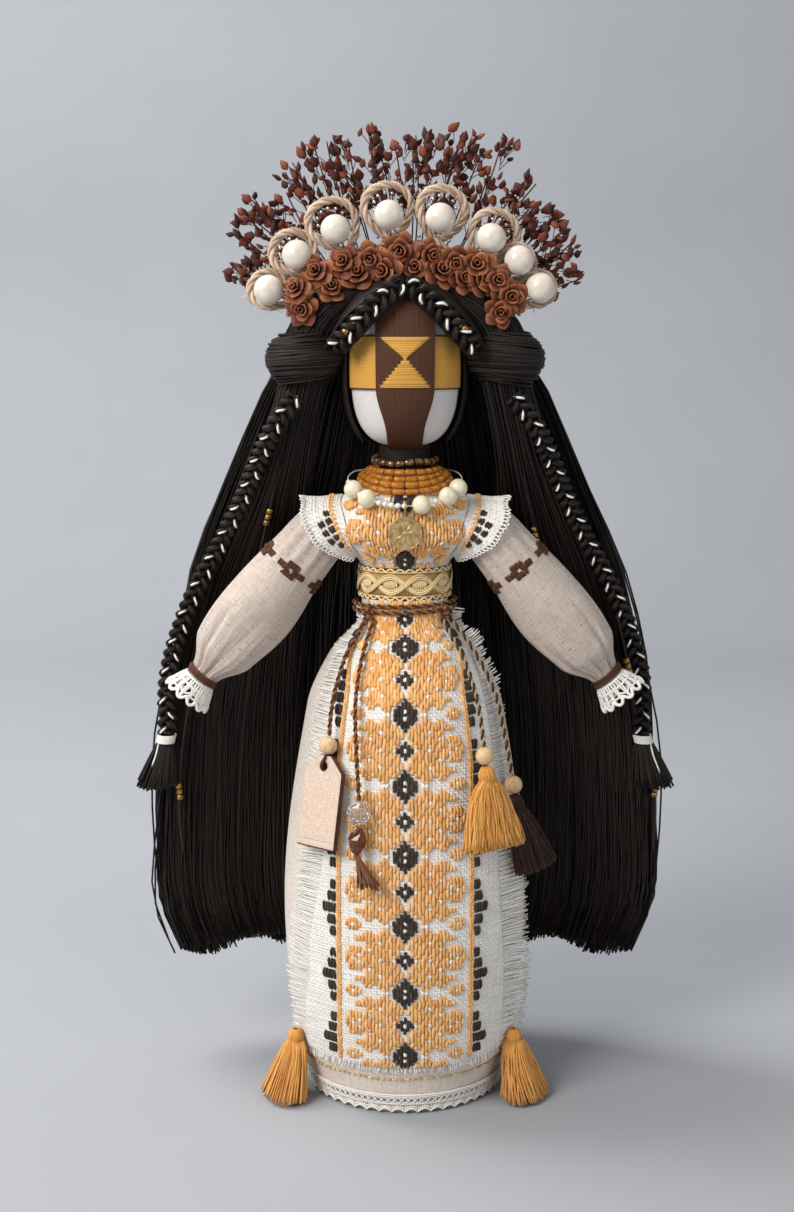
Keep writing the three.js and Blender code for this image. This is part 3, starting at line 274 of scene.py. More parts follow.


# %% [markdown]
# ## From a shape to a piece
#
# A piece is a mesh object at the origin with its place in its points, so patterns on Object coordinates
# stay put. It rides on a body of the frame, takes a finish, and may stand for solids of the frame, which
# are then hidden. Poles and seams of turned grids are merged and their faces turned outwards.

# %% Make a piece
def piece(name, shape, material, slot=None, stands_for=(), body="doll", weld=False, smooth=True):
    """Mesh object of a shape; weld merges points that meet and turns the faces outwards."""
    mesh = bpy.data.meshes.new(name)
    sizes = np.concatenate([np.full(len(f), f.shape[1]) for f in shape.faces])
    corners = np.concatenate([f.ravel() for f in shape.faces]).astype(np.int32)
    mesh.vertices.add(len(shape.points))
    mesh.vertices.foreach_set("co", (shape.points * MM).astype(np.float32).ravel())
    mesh.loops.add(len(corners))
    mesh.loops.foreach_set("vertex_index", corners)
    mesh.polygons.add(len(sizes))
    mesh.polygons.foreach_set("loop_start", (np.cumsum(sizes) - sizes).astype(np.int32))
    mesh.update(calc_edges=True)
    mesh.attributes.new("tone", "FLOAT", "POINT").data.foreach_set("value", shape.tone.astype(np.float32))
    flat = (shape.cloth[corners] * MM).astype(np.float32)
    mesh.uv_layers.new(name="cloth").data.foreach_set("uv", flat.ravel())
    if weld:
        shell = bmesh.new()
        shell.from_mesh(mesh)
        bmesh.ops.remove_doubles(shell, verts=shell.verts, dist=1e-7)
        bmesh.ops.dissolve_degenerate(shell, edges=shell.edges, dist=1e-7)
        bmesh.ops.recalc_face_normals(shell, faces=shell.faces)
        shell.to_mesh(mesh)
        shell.free()
    mesh.polygons.foreach_set("use_smooth", np.full(len(mesh.polygons), smooth))
    mesh.materials.append(material)
    made = bpy.data.objects.new(name, mesh)
    bpy.context.scene.collection.objects.link(made)
    if body:
        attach(made, body)
    if stands_for:
        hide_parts(*stands_for)
    print(f"{name}: {sum(len(p.vertices) - 2 for p in mesh.polygons)} triangles")
    return made


# %% [markdown]
# ## Finishes
#
# Colours are given as they look on a screen and turned into linear light. Yarn, cloth, wood and metal are
# each one recipe that several pieces share. Constants sit on the shader itself; only what varies over the
# surface is linked.

# %% Shader helpers
def hue(code):
    """Linear light of a hex colour: c / 12.92 when dark, else ((c + 0.055) / 1.055) to the power 2.4."""
    c = np.array([code >> 16 & 255, code >> 8 & 255, code & 255]) / 255
    return (*np.where(c < 0.04045, c / 12.92, ((c + 0.055) / 1.055) ** 2.4).tolist(), 1.0)


def finish(name, rough, **constants):
    """New material with constants on its shader; an underscore in a socket's name stands for a space."""
    material = bpy.data.materials.new(name)
    material.use_nodes = True
    shader = material.node_tree.nodes["Principled BSDF"]
    shader.inputs["Roughness"].default_value = rough
    for socket, value in constants.items():
        shader.inputs[socket.replace("_", " ")].default_value = value
    return material, material.node_tree, shader


def node(tree, kind, inputs=None, **settings):
    """Adds a node: settings are its properties, inputs its socket values or the outputs that feed them."""
    made = tree.nodes.new("ShaderNode" + kind)
    for key, value in settings.items():
        setattr(made, key, value)
    for key, value in (inputs or {}).items():
        if isinstance(value, bpy.types.NodeSocket):
            tree.links.new(value, made.inputs[key])
        else:
            made.inputs[key].default_value = value
    return made


def place_on(tree):
    """Place on the object, in metres."""
    return node(tree, "TexCoord").outputs["Object"]


def tone_on(tree):
    """Tone that the points carry."""
    return node(tree, "Attribute", attribute_name="tone").outputs["Fac"]


def added(tree, value, times, plus):
    """Value times a factor, plus another value."""
    return node(tree, "Math", {0: value, 1: times, 2: plus}, operation="MULTIPLY_ADD").outputs[0]


def paint(tree, shader, colour):
    """Links a colour to the shader."""
    tree.links.new(colour, shader.inputs["Base Color"])


def mixed(tree, factor, first, second):
    """Colour between two colours or colour outputs."""
    made = node(tree, "Mix", {0: factor, 6: first, 7: second}, data_type="RGBA")
    return made.outputs[2]


def raised(tree, shader, height, distance, strength=1.0):
    """Bump of a height output, with the distance in millimetres."""
    made = node(tree, "Bump", {"Height": height, "Distance": distance * MM, "Strength": strength})
    tree.links.new(made.outputs["Normal"], shader.inputs["Normal"])


def noise(tree, vector, size, detail=3.0, stretch=(1, 1, 1)):
    """Cloudy texture whose marks are about size millimetres across, drawn out by stretch."""
    scale = tuple(1 / (size * MM * s) for s in stretch)
    laid = node(tree, "Mapping", {"Vector": vector, "Scale": scale})
    made = node(tree, "TexNoise", {"Vector": laid.outputs[0], "Scale": 1.0, "Detail": detail})
    return made.outputs["Fac"]


def spread(tree, value, low, high):
    """Clamps a value to 0 and 1 between low and high."""
    made = node(tree, "MapRange", {"Value": value, "From Min": low, "From Max": high})
    return made.outputs[0]


# %% Yarn, cloth and hard finishes
def yarn(name, dark, light, rough=0.85, sheen=0.25, streak=0.5):
    """Yarn: the strand's tone plus fine streaks picks between two dyes, and the streaks raise fibres."""
    material, tree, shader = finish(name, rough, Sheen_Weight=sheen, Specular_IOR_Level=0.25)
    fibres = noise(tree, place_on(tree), size=0.5)
    total = added(tree, fibres, streak, tone_on(tree))
    share = spread(tree, total, streak / 2, 1 + streak / 2)
    paint(tree, shader, mixed(tree, share, hue(dark), hue(light)))
    raised(tree, shader, fibres, 0.25)
    return material


def woven(name, thread, dark, light, fleck, flecks=0.66, raise_by=0.25):
    """Plain weave on the cloth's map: warp and weft ridges take turns on a checker, with slubs and flecks."""
    material, tree, shader = finish(name, 0.9, Sheen_Weight=0.2, Sheen_Roughness=0.6)
    cloth = node(tree, "UVMap", uv_map="cloth").outputs["UV"]
    pitch = thread * MM
    band = {"Vector": cloth, "Scale": 2 * np.pi / 20 / pitch, "Distortion": 0.0}
    warp = node(tree, "TexWave", band, bands_direction="X").outputs["Fac"]
    weft = node(tree, "TexWave", band, bands_direction="Y").outputs["Fac"]
    over = node(tree, "TexChecker", {"Vector": cloth, "Scale": 1 / pitch}).outputs["Fac"]
    height = node(tree, "Mix", {0: over, 2: warp, 3: weft}, data_type="FLOAT").outputs[0]
    slub = noise(tree, cloth, thread, 2.0, (14, 1, 1))
    cross = noise(tree, cloth, thread, 2.0, (1, 14, 1))
    streaks = added(tree, slub, 1.0, cross)
    lift = added(tree, height, 0.35, streaks)
    ground = mixed(tree, spread(tree, lift, 0.8, 1.6), hue(dark), hue(light))
    specks = spread(tree, noise(tree, cloth, thread * 1.6, 1.0, (2.4, 1, 1)), flecks, flecks + 0.08)
    paint(tree, shader, mixed(tree, specks, ground, hue(fleck)))
    raised(tree, shader, lift, raise_by)
    return material


def glossy(name, dark, light, rough, size=3.0, **constants):
    """Bead: cloudy colour under a polish, with faint wear in its gloss."""
    material, tree, shader = finish(name, rough, **constants)
    cloud = noise(tree, place_on(tree), size)
    colour = mixed(tree, spread(tree, cloud, 0.3, 0.7), hue(dark), hue(light))
    paint(tree, shader, colour)
    worn = noise(tree, place_on(tree), size=0.8)
    limits = {"Value": worn, "To Min": rough * 0.7, "To Max": rough * 1.5}
    wear = node(tree, "MapRange", limits)
    tree.links.new(wear.outputs[0], shader.inputs["Roughness"])
    raised(tree, shader, cloud, 0.05, 0.4)
    return material


def grained(name, dark, light, burnt, grain=(1, 1, 9)):
    """Wood: streaks drawn out along the grain; a tone over 0.8 is burnt brown."""
    material, tree, shader = finish(name, 0.55)
    streak = noise(tree, place_on(tree), 0.9, 4.0, grain)
    plain = mixed(tree, spread(tree, streak, 0.3, 0.72), hue(dark), hue(light))
    colour = mixed(tree, spread(tree, tone_on(tree), 0.78, 0.84), plain, hue(burnt))
    paint(tree, shader, colour)
    raised(tree, shader, streak, 0.08, 0.6)
    return material


def toned(name, dark, middle, light, rough):
    """Folded or dried stuff: three colours along the tone, broken up by blotches."""
    material, tree, shader = finish(name, rough)
    blotch = noise(tree, place_on(tree), size=1.2)
    total = added(tree, blotch, 0.5, tone_on(tree))
    low = mixed(tree, spread(tree, total, 0.25, 0.75), hue(dark), hue(middle))
    paint(tree, shader, mixed(tree, spread(tree, total, 0.75, 1.2), low, hue(light)))
    raised(tree, shader, blotch, 0.15, 0.6)
    return material


linen = woven("linen", 0.6, 0xCFBFAF, 0xF3E8DC, 0xA38E78, 0.69)
sleeve_linen = woven("sleeve_linen", 0.7, 0xB6A496, 0xE0D1C5, 0x97826E, 0.66, 0.45)
gauze = woven("white_gauze", 1.3, 0xDFD8CD, 0xFDFBF6, 0xEBE5DA, 0.7, 0.7)
white_yarn = yarn("white_yarn", 0xD6D0C6, 0xF8F5EE)
lace_thread = yarn("lace_thread", 0xD8D2C8, 0xF7F3EC)
orange_yarn = yarn("orange_yarn", 0xD8964C, 0xFBCA8A)
brown_yarn = yarn("brown_yarn", 0x2A2018, 0x4C3E32, 0.85, 0.1)
mustard_thread = yarn("mustard_thread", 0xB87E2C, 0xEEBB5C, 0.6, 0.1)
tassel_yarn = yarn("tassel_yarn", 0xB06C24, 0xF6B860, 0.7, 0.2)
face_brown = yarn("face_brown_thread", 0x3A1F15, 0x66412D, 0.7, 0.0)
face_white = yarn("face_white_thread", 0xC4BCB6, 0xEDE8E4, 0.7)
dark_tassel_yarn = yarn("dark_tassel_yarn", 0x1C0E0B, 0x4A2A20, 0.7, 0.05)
red_cord = yarn("red_brown_cord", 0x44200F, 0x94623C, 0.75, 0.1, 0.35)
beige_cord = yarn("dark_beige_cord", 0x2A1A10, 0xB89A78, 0.75, 0.1, 0.35)
hair_yarn = yarn("hair_yarn", 0x0E0B0A, 0x332A25, 0.5, 0.0, 0.4)
jute_twine = yarn("jute_twine", 0xA0846E, 0xEED4BC, 0.9, 0.25, 0.7)
gold_gimp = yarn("gold_gimp", 0xAA8244, 0xFCE2AE, 0.45, 0.1)
cream_polish = glossy("cream_bead", 0xD9CDBE, 0xEADFD0, 0.16, 4.0, Coat_Weight=0.5, Coat_Roughness=0.05)
necklace_cream = glossy("necklace_bead", 0xDDD0AE, 0xEFE5C8, 0.22, 4.0, Coat_Weight=0.3)
seed_white = glossy("white_seed_bead", 0xDAD6D0, 0xF6F4F0, 0.2)
amber_glass = glossy("amber_glass", 0xE67C1A, 0xFFC054, 0.06, 1.6, Transmission_Weight=0.6, IOR=1.42)
drop_glass = glossy("brown_drop_glass", 0x5A2A12, 0x8A4C24, 0.06, 2.0, Transmission_Weight=0.4, IOR=1.55)
clear_glass = glossy("clear_glass", 0xE8E4DE, 0xF6F4F0, 0.05, 3.0, Transmission_Weight=0.9, IOR=1.5)
bugle_glass = glossy("bronze_bugle", 0x33241A, 0xA5835A, 0.18, 1.6, Metallic=0.6)
gold_tube = glossy("gold_tube", 0x7A5A2C, 0xC09A5C, 0.3, 1.5, Metallic=0.9)
old_brass = glossy("old_brass", 0x9C804E, 0xDABC88, 0.4, 1.8, Metallic=0.8)
silver_seed = glossy("silver_seed", 0x8C8884, 0xE6E4E0, 0.15, 1.0, Metallic=0.7)
bead_wood = grained("bead_wood", 0xC79E6E, 0xE6C79E, 0x6A4020)
tag_wood = grained("tag_wood", 0xC9AE9A, 0xDFCAB8, 0x4A2C1A, (9, 1, 1))
base_wood = grained("base_wood", 0xB08A5C, 0xD9B98A, 0x6A4020, (9, 1, 1))
rose_paper = toned("rose_paper", 0x2E1008, 0x70351C, 0xA05E36, 0.75)
grass_paper = toned("dried_grass", 0x2C100B, 0x5C2618, 0x8E4A30, 0.8)
print("finishes:", len(bpy.data.materials))

# %% [markdown]
# ## Camera and studio
#
# The camera stands a good arm's length in front of the doll, a little above its middle, and looks slightly
# down. A photographer would sweep pale paper from the table up behind the doll, so that no edge shows, and
# light it with one large soft lamp from the upper left and a weaker one from the right. Two more lamps stand
# behind: one rims the hair, and one lights the paper.

# %% Camera, paper sweep and lamps
LOOK_DOWN = 8.6
camera_data = bpy.data.cameras.new("camera")
camera_data.lens = 52.0
camera = bpy.data.objects.new("camera", camera_data)
camera.location = (-0.0035, -0.777, 0.338)
camera.rotation_euler = (np.radians(90 - LOOK_DOWN), 0, 0)
bpy.context.scene.collection.objects.link(camera)
bpy.context.scene.camera = camera
SWEEP, FLOOR_END, FLOOR_Z = 500, 1050, -0.4


def paper_sweep():
    """Flat floor, a quarter circle, then a wall: the profile (y, z) is carried along x."""
    bend = np.linspace(0, np.pi / 2, 24)
    y = np.concatenate([[-2600, -900], FLOOR_END + SWEEP * np.sin(bend), [FLOOR_END + SWEEP]])
    z = np.concatenate([[FLOOR_Z, FLOOR_Z], FLOOR_Z + SWEEP - SWEEP * np.cos(bend), [2600]])
    across = np.linspace(-2400, 2400, 5)
    return patch(spot(across[None], y[:, None], z[:, None]))


pale_paper, paper_tree, paper_shader = finish("pale_paper", 0.9)
paper_cloud = noise(paper_tree, place_on(paper_tree), 160.0)
paper_colour = mixed(paper_tree, spread(paper_tree, paper_cloud, 0.2, 0.8), hue(0xA2A4A9), hue(0xA7A9AD))
paint(paper_tree, paper_shader, paper_colour)
piece("paper_sweep", paper_sweep(), pale_paper, body=None)


def lamp(name, place, aim, width, watts, colour):
    """Round area lamp at a place, turned so that it shines on aim."""
    data = bpy.data.lights.new(name, "AREA")
    data.shape = "DISK"
    data.size, data.energy, data.color = width, watts, colour
    made = bpy.data.objects.new(name, data)
    made.location = place
    made.rotation_euler = (Vector(aim) - Vector(place)).to_track_quat("-Z", "Y").to_euler()
    bpy.context.scene.collection.objects.link(made)


lamp("key_lamp", (-1.05, -1.1, 1.2), (0, 0, 0.2), 1.0, 29, (1.0, 0.98, 0.95))
lamp("fill_lamp", (1.2, -1.2, 0.7), (0, 0, 0.2), 1.4, 5, (0.97, 0.98, 1.0))
lamp("back_lamp", (-0.6, 0.2, 1.4), (-0.1, 0.1, 0.3), 0.9, 6, (1.0, 1.0, 1.0))
lamp("wall_lamp", (-0.9, 0.45, 1.7), (-0.25, 1.5, 0.5), 1.2, 24, (1.0, 1.0, 1.0))
world = bpy.data.worlds.new("studio")
world.use_nodes = True
sky = world.node_tree.nodes["Background"]
sky.inputs["Color"].default_value = (0.9, 0.93, 0.97, 1)
sky.inputs["Strength"].default_value = 0.36
bpy.context.scene.world = world
bpy.context.scene.view_settings.view_transform = "Standard"
print("lamps:", len(bpy.data.lights))

# %% [markdown]
# ## The four hanging cords
#
# A brown and beige cord goes twice round the waist, and its four ends hang over the skirt. A hung cord lies
# on the cloth, so each route keeps a set distance from the skirt's outline while it drops and drifts to one
# side. Two plies twisted round that route make the cord, one dark and one light.

# %% Routes over the skirt
skirt_radius = through([0, 38.25, 85, 177, 201, 217.6, 226], [43, 52, 55, 44, 33, 19.6, 19.3])


def on_skirt(angle, z, off):
    """Place over the skirt: its radius at z, plus 1.04 off along the normal; angle 0 is the front."""
    slope = (skirt_radius(z + 2) - skirt_radius(z - 2)) / 4
    out = off * 1.04 / np.hypot(1, slope)
    radius = skirt_radius(z) + out
    return round_z(radius, angle, z - out * slope)


Hung = namedtuple("Hung", "line down side front")
CORD_TOP, WAIST_OFF = 216.8, 3.3
CORD_RADIUS, CORD_PITCH, CORD_TONES = 1.1, 5.2, (0.05, 0.85)


def hung(start_angle, end_angle, end_z, off):
    """Cord route: the angle drifts with the 0.7th power of the share of the drop, and off grows evenly."""
    share = np.linspace(0, 1, 7)
    angle = np.radians(start_angle + (end_angle - start_angle) * share**0.7)
    z = CORD_TOP + (end_z - CORD_TOP) * share
    line = route(on_skirt(angle, z, WAIST_OFF * (1 - share) + off * share), 26)
    down = unit(on_skirt(angle[-1], end_z - 10, off) - on_skirt(angle[-1], end_z, off))
    front = np.array([np.sin(angle[-1]), -np.cos(angle[-1]), 0])
    front = unit(front - (front @ down) * down)
    return Hung(line, down, np.cross(front, down), front)


def below(cord, side, front, drop):
    """Place under a cord's end: so far to the side, to the front and down."""
    side, front, drop = np.broadcast_arrays(side, front, drop)
    across = side[..., None] * cord.side + front[..., None] * cord.front
    return cord.line[-1] + across + drop[..., None] * cord.down


def twisted(line):
    """Two-ply cord along a line, one ply dark and one light."""
    return ply(line, CORD_RADIUS, 2, CORD_PITCH, CORD_TONES)


cords = {"tag": hung(-48, -39, 169, 6.2), "crystal": hung(-36, -20, 144, 7.4),
         "gold": hung(44, 36, 165, 10.7), "dark": hung(58, 58, 149, 6.2)}
cord_yarns = {"tag": red_cord, "crystal": red_cord, "gold": beige_cord, "dark": beige_cord}
for kind, cord in cords.items():
    shape = twisted(route(cord.line, 90))
    piece(f"{kind}_cord", shape, cord_yarns[kind], "brown_cord", [f"cord_{kind}"],
                              f"{kind}_line")
print("cord ends:", [cord.line[-1].round(1).tolist() for cord in cords.values()])

# %% [markdown]
# ## What hangs on the cords
#
# Three turned wooden beads, a thin wooden tag with a burnt edge, a clear faceted bead with a brown glass
# drop, and two tassels. The tag is a ring of points between its round hole and its outline, so the hole is
# real. A tassel is a bundle of yarns that leaves a bound neck and spreads as it falls.

# %% Beads and tag
UNDER_BEAD = 8.6
hangers = {kind: [] for kind in cords}
for kind in ("tag", "gold", "dark"):
    shape = drilled(below(cords[kind], 0, 0, UNDER_BEAD / 2), cords[kind].down, 4.0, 1.2)
    hangers[kind].append(piece(f"{kind}_bead", shape, bead_wood, "bead_wood", [f"wood_bead_{kind}"],
                               f"{kind}_line", weld=True))


def tag_plate(cord, top):
    """Tag: rings run from the hole's edge out to the outline, over its rounded rim, and back behind."""
    turn = circle(96)
    corner = np.array([[-3.5, 0], [3.5, 0], [10.5, 7], [10.5, 40], [-10.5, 40], [-10.5, 7], [-3.5, 0]])
    run = lengths(corner)
    at = np.linspace(0, run[-1], 96, endpoint=False)
    edge = np.stack([np.interp(at, run, corner[:, k]) for k in (0, 1)], axis=-1)
    middle = np.array([0, 4.5])
    bearing = np.arctan2(edge[:, 1] - middle[1], edge[:, 0])
    hole = middle + 2.0 * np.stack([np.cos(bearing), np.sin(bearing)], axis=-1)
    share = np.array([0, 0.04, 0.3, 0.6, 0.8, 0.87, 0.9, 0.93, 0.96, 0.985, 1, 1])[:, None, None]
    lift = np.array([1.2, 1.5, 1.5, 1.5, 1.5, 1.5, 1.42, 1.5, 1.5, 1.42, 1.15, 0])[:, None]
    burnt = np.array([0.9, 0.5, 0.5, 0.5, 0.5, 0.5, 0.83, 0.5, 0.5, 0.84, 1, 1])[:, None]
    ring = hole * (1 - share) + edge * share
    ring = np.concatenate([ring, ring[:-1][::-1]])
    lift = np.concatenate([lift, -lift[:-1][::-1]])
    burnt = np.concatenate([burnt, burnt[:-1][::-1]])
    points = below(cord, ring[..., 0], lift + 0 * turn, ring[..., 1] + top)
    return patch(points, True, True, burnt + 0 * turn)


hangers["tag"].append(piece("tag_plate", tag_plate(cords["tag"], UNDER_BEAD), tag_wood, "pale_wood", ["tag"],
                            "tag", weld=True))


def tag_thread(cord):
    """Loop of cord through the tag's hole: an oval that starts under the bead and passes behind the plate."""
    turn = circle(40)
    loop = below(cord, 0.8 * np.sin(2 * turn), 2.6 * np.sin(turn), 11.6 - 3.6 * np.cos(turn))
    return strands(loop, 0.7, 6, 0.1, closed=True)


hangers["tag"].append(piece("tag_loop", tag_thread(cords["tag"]), red_cord, "brown_cord", body="tag"))


def faceted(cord, drop, profile, sides):
    """Cut bead: each (drop, radius) ring is turned by half a side from the last, so the facets are kites."""
    profile = np.array(profile, float)
    turn = 2 * np.pi * (np.arange(sides)[None] + 0.5 * np.arange(len(profile))[:, None]) / sides
    reach = profile[:, 1:2]
    points = below(cord, reach * np.cos(turn), reach * np.sin(turn), profile[:, :1] + drop)
    return patch(points, wrap_cols=True)


crystal_profile = [(0, 0), (0.4, 2.2), (2.6, 4.6), (5.4, 5.2), (8.2, 4.6), (10.0, 2.4), (10.4, 0)]
drop_profile = [(0, 0), (0.3, 1.6), (2.5, 3.2), (5.5, 4.0), (8.8, 3.4), (11.4, 1.8), (11.8, 0)]
crystal_shape = faceted(cords["crystal"], 0.4, crystal_profile, 10)
drop_shape = faceted(cords["crystal"], 11.2, drop_profile, 8)
cut_glass = {"body": "crystal_drop", "weld": True, "smooth": False}
hangers["crystal"] += [
    piece("crystal_bead_cut", crystal_shape, clear_glass, "clear_glass", ["crystal_bead"], **cut_glass),
    piece("glass_drop", drop_shape, drop_glass, "amber_glass", ["drop_bead"], **cut_glass)]


def fray(cord, top, length, count, spread_by, lean):
    """Frayed cord end: yarns leave one point and spread with the 1.5th power of the share of their length."""
    share = shares(8)
    bearing = draw(0, 2 * np.pi, count)
    far = spread_by * np.sqrt(draw(0.02, 1, count))
    reach = 0.8 + far * share**1.5
    drop = top + length * draw(0.75, 1, count) * share
    paths = below(cord, reach * np.cos(bearing) + lean * share, reach * np.sin(bearing) * 0.5, drop)
    return strands(paths, 0.38, 4, tones(count))


hangers["crystal"].append(piece("crystal_fray", fray(cords["crystal"], 23.0, 15, 40, 5.0, 6.5), red_cord,
                                "brown_cord", body="crystal_drop"))

# %% Tassels
def tassel(place, length, half_width, half_depth, lean):
    """Tassel: yarns fill an oval that opens fast under the bound neck, and a round head sits over it.

    place(side, front, drop) puts a point; the oval's share of its full size is the drop's share to the 0.55,
    and lean moves the yarns to the side and the front by those shares of their drop."""
    count, head_yarns = 640, 34
    neck = 0.2 * length
    share = shares(9)
    a, b = scatter(count, 0.4)
    open_by = 0.17 + 0.83 * share**0.55
    sway = 0.55 * np.sin(6 * share + draw(0, 6, count))
    fall = (length * draw(0.93, 1.0, count) - neck * 0.8) * share
    x = half_width * a * open_by + sway + lean[0] * fall
    y = half_depth * b * (0.45 + 0.55 * share) + 0.5 * sway + lean[1] * fall
    skirt_yarns = strands(place(x, y, neck * 0.8 + fall), 0.38, 4, tones(count))
    around = circle(head_yarns)[:, None]
    fall = shares(7)
    bulge = 0.4 + 2.9 * np.sin(np.pi * (0.12 + 0.7 * fall))
    crown = place(bulge * np.cos(around), bulge * np.sin(around), 0.3 + neck * fall)
    head = strands(crown, 0.5, 4, tones(head_yarns))
    turn = np.linspace(0, 6, 120)
    bind = place(2.7 * np.cos(2 * np.pi * turn), 2.7 * np.sin(2 * np.pi * turn), neck * 0.75 + 0.6 * turn)
    return merge(skirt_yarns, head, strands(bind, 0.45, 5, 0.35))


def cord_tassel(cord, lean):
    """Tassel under a cord's bead."""
    def under(side, front, drop):
        return below(cord, side, front, drop + UNDER_BEAD)
    return tassel(under, 36, 16.5, 5.5, lean)


gold_shape, dark_shape = cord_tassel(cords["gold"], (0, 0)), cord_tassel(cords["dark"], (0.38, 0))
hangers["gold"].append(piece("gold_tassel_yarn", gold_shape, tassel_yarn, "mustard_thread", ["tassel_gold"],
                             "gold_tassel"))
hangers["dark"].append(piece("dark_tassel_yarns", dark_shape, dark_tassel_yarn, "brown_thread",
                             ["tassel_dark"], "dark_tassel"))

for kind, cord in cords.items():
    line = cord.line * MM

# %% [markdown]
# ## Skirt, lace and what they hide
#
# The skirt is a tube of slubby linen, tight at the waist and round at the hips, over a roll of cloth on a
# dowel and a small wooden base. It is a closed grid: up the outside, over the top and down the inside. The
# gathers are ripples that grow towards the waist and fade out under the apron, where the cloth lies flat.

# %% Skirt and core
def skirt_cloth():
    """Skirt: the outline turned round z, pushed out by ripples cos(26 turn) that grow towards the waist."""
    turn = np.pi + circle(200)[None]
    z = np.concatenate([np.linspace(0.3, 225.5, 80), np.linspace(225.5, 0.3, 30)])[:, None]
    wall = np.concatenate([np.zeros(80), np.full(30, -1.2)])[:, None]
    bare = 0.25 + 0.75 * ease(1.2, 1.7, np.abs((turn + np.pi) % (2 * np.pi) - np.pi))
    gather = 0.5 * ease(124, 209, z) * bare * (1 - ease(218, 225, z))
    ripple = np.cos(26 * turn + 1.2 * np.sin(3 * turn)) + 0.5 * np.cos(41 * turn)
    sag = 0.25 * np.sin(5 * turn + z / 30) * ease(20, 60, z) * (1 - ease(150, 200, z))
    points = on_skirt(turn, z, wall + gather * ripple * 0.5 + sag * bare - 0.1)
    cloth = flat_map(turn * 50, z + 0 * turn)
    return patch(points, True, True, 0.5, cloth)


skirt = piece("skirt_cloth", skirt_cloth(), linen, "linen", ["skirt"], weld=True)


def turned(profile, sides, ridge=0.0, ridges=0):
    """Closed profile of (radius, z) turned round z; ridge adds shallow waves round it."""
    profile = np.array(profile, float)
    turn = circle(sides)[None]
    reach = profile[:, :1] + ridge * np.cos(ridges * turn)
    points = round_z(reach, turn, profile[:, 1:2])
    return patch(points, True, True, 0.5, flat_map(turn * 30, profile[:, 1:2]))


def ring_profile(outer, inner, z):
    """Closed profile of a thick tube: up the outer radius and down the inner one."""
    down = np.full(len(z), inner)
    return np.stack([np.concatenate([outer, down]), np.concatenate([z, z[::-1]])], axis=-1)


core_z = np.linspace(3.6, 225, 30)
core_shape = turned(ring_profile(skirt_radius(core_z) - 3.0, 4.6, core_z), 72, 0.4, 18)
core = piece("cloth_roll", core_shape, linen, "stuffing", ["body_core"], weld=True)
for wooden in ("base_disc", "core_dowel"):
    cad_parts[wooden].data.materials.clear()
    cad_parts[wooden].data.materials.append(base_wood)


def hem_lace():
    """Crochet edge: rings round the skirt, a row of eyelets, bars, and 48 loops that hang down."""
    turn = circle(480)
    def ring(z, out, wave=0.0):
        return on_skirt(turn, z + wave * np.abs(np.sin(24 * turn)), out)
    rings = [strands(ring(z, 0.7), 0.45, 5, 0.7, True) for z in (9.4, 8.5, 4.9)]
    rings.append(strands(ring(0.8, 0.9, 1.9), 0.5, 5, 0.8, True))
    rings.append(strands(ring(2.3, 0.75, 1.3), 0.36, 5, 0.6, True))
    middle = circle(96)[:, None]
    small = circle(12)[None]
    eyelets = on_skirt(middle + 1.25 * np.sin(small) / 44, 6.7 + 1.25 * np.cos(small), 0.7)
    rings.append(strands(eyelets, 0.4, 4, tones(96, 0.5, 1), True))
    up = shares(4)
    fan = circle(288)[:, None] + 0.004
    low = 1.1 + 1.7 * np.abs(np.sin(24 * fan))
    fans = strands(on_skirt(fan, low + (4.9 - low) * up, 0.75), 0.26, 4, tones(288, 0.5, 1))
    return merge(*rings, fans)


lace = piece("lace_crochet", hem_lace(), lace_thread, "white_cotton", ["lace_hem"])


def running_stitch():
    """Row of short gold stitches round the skirt above the lace: dashes of two thirds of their spacing."""
    start = circle(110)[:, None]
    share = shares(5)
    lift = 0.1 + 0.5 * np.sin(np.pi * share)
    return strands(on_skirt(start + 0.04 * share, 17.7 + 0.3 * np.sin(9 * start), lift), 0.42, 5, tones(110))


stitches = piece("hem_stitch", running_stitch(), gold_gimp, "mustard_thread")

# %% [markdown]
# ## The embroidered cloth
#
# Apron and bodice are cut from one woven cloth: white ground with a repeating design of long stitches in
# orange and brown wool. A weaver works from a chart, and so does this cell. Half of one repeat is written
# down, from the middle outwards and from the small diamond to the large one, and mirrored both ways. Each
# upright run of one letter becomes floats of up to four rows, short tubes whose ends dip into the cloth.

# %% Chart
HALF_CHART = (
    "wBBwOOOwOOOOOOOwOO.",
    "BB.OOOOOOOOOOwOOOO.",
    "B.OOOOOOOOOOOOOOO..",
    "..OOOOOOOOwO.OOOO..",
    ".OOOOOOOOOOO.......",
    ".OOOOOOwOOOO.......",
    "B.OOOOOOOOOOOOO....",
    "BB.OOOOOOOOOO......",
    "BBB..OOO..OO.......",
    "wBBB.OO.......OOO..",
    "BBBB.ww......OOwOO.",
)
COLUMN, ROW, REPEAT = 1.5, 1.51, 20
WOOLS = (("O", "orange", orange_yarn, "mustard_thread"), ("B", "brown", brown_yarn, "brown_thread"),
         ("w", "white", white_yarn, "white_thread"))


def floats(rows, large_row):
    """Stitches of the chart for a count of rows, by letter: each is (column, row) to (column, row)."""
    found = {"O": [], "B": [], "w": []}
    for column in range(-18, 19):
        marks = [HALF_CHART[abs((row - large_row) % REPEAT - 10)][abs(column)] for row in range(rows)]
        for run in re.finditer("O+|B+|w+", "".join(marks)):
            cuts = [run.start(), *range(run.start() + 2 + column % 3, run.end(), 4), run.end()]
            found[run.group()[0]] += [(column, a, column, b) for a, b in zip(cuts, cuts[1:])]
    return found


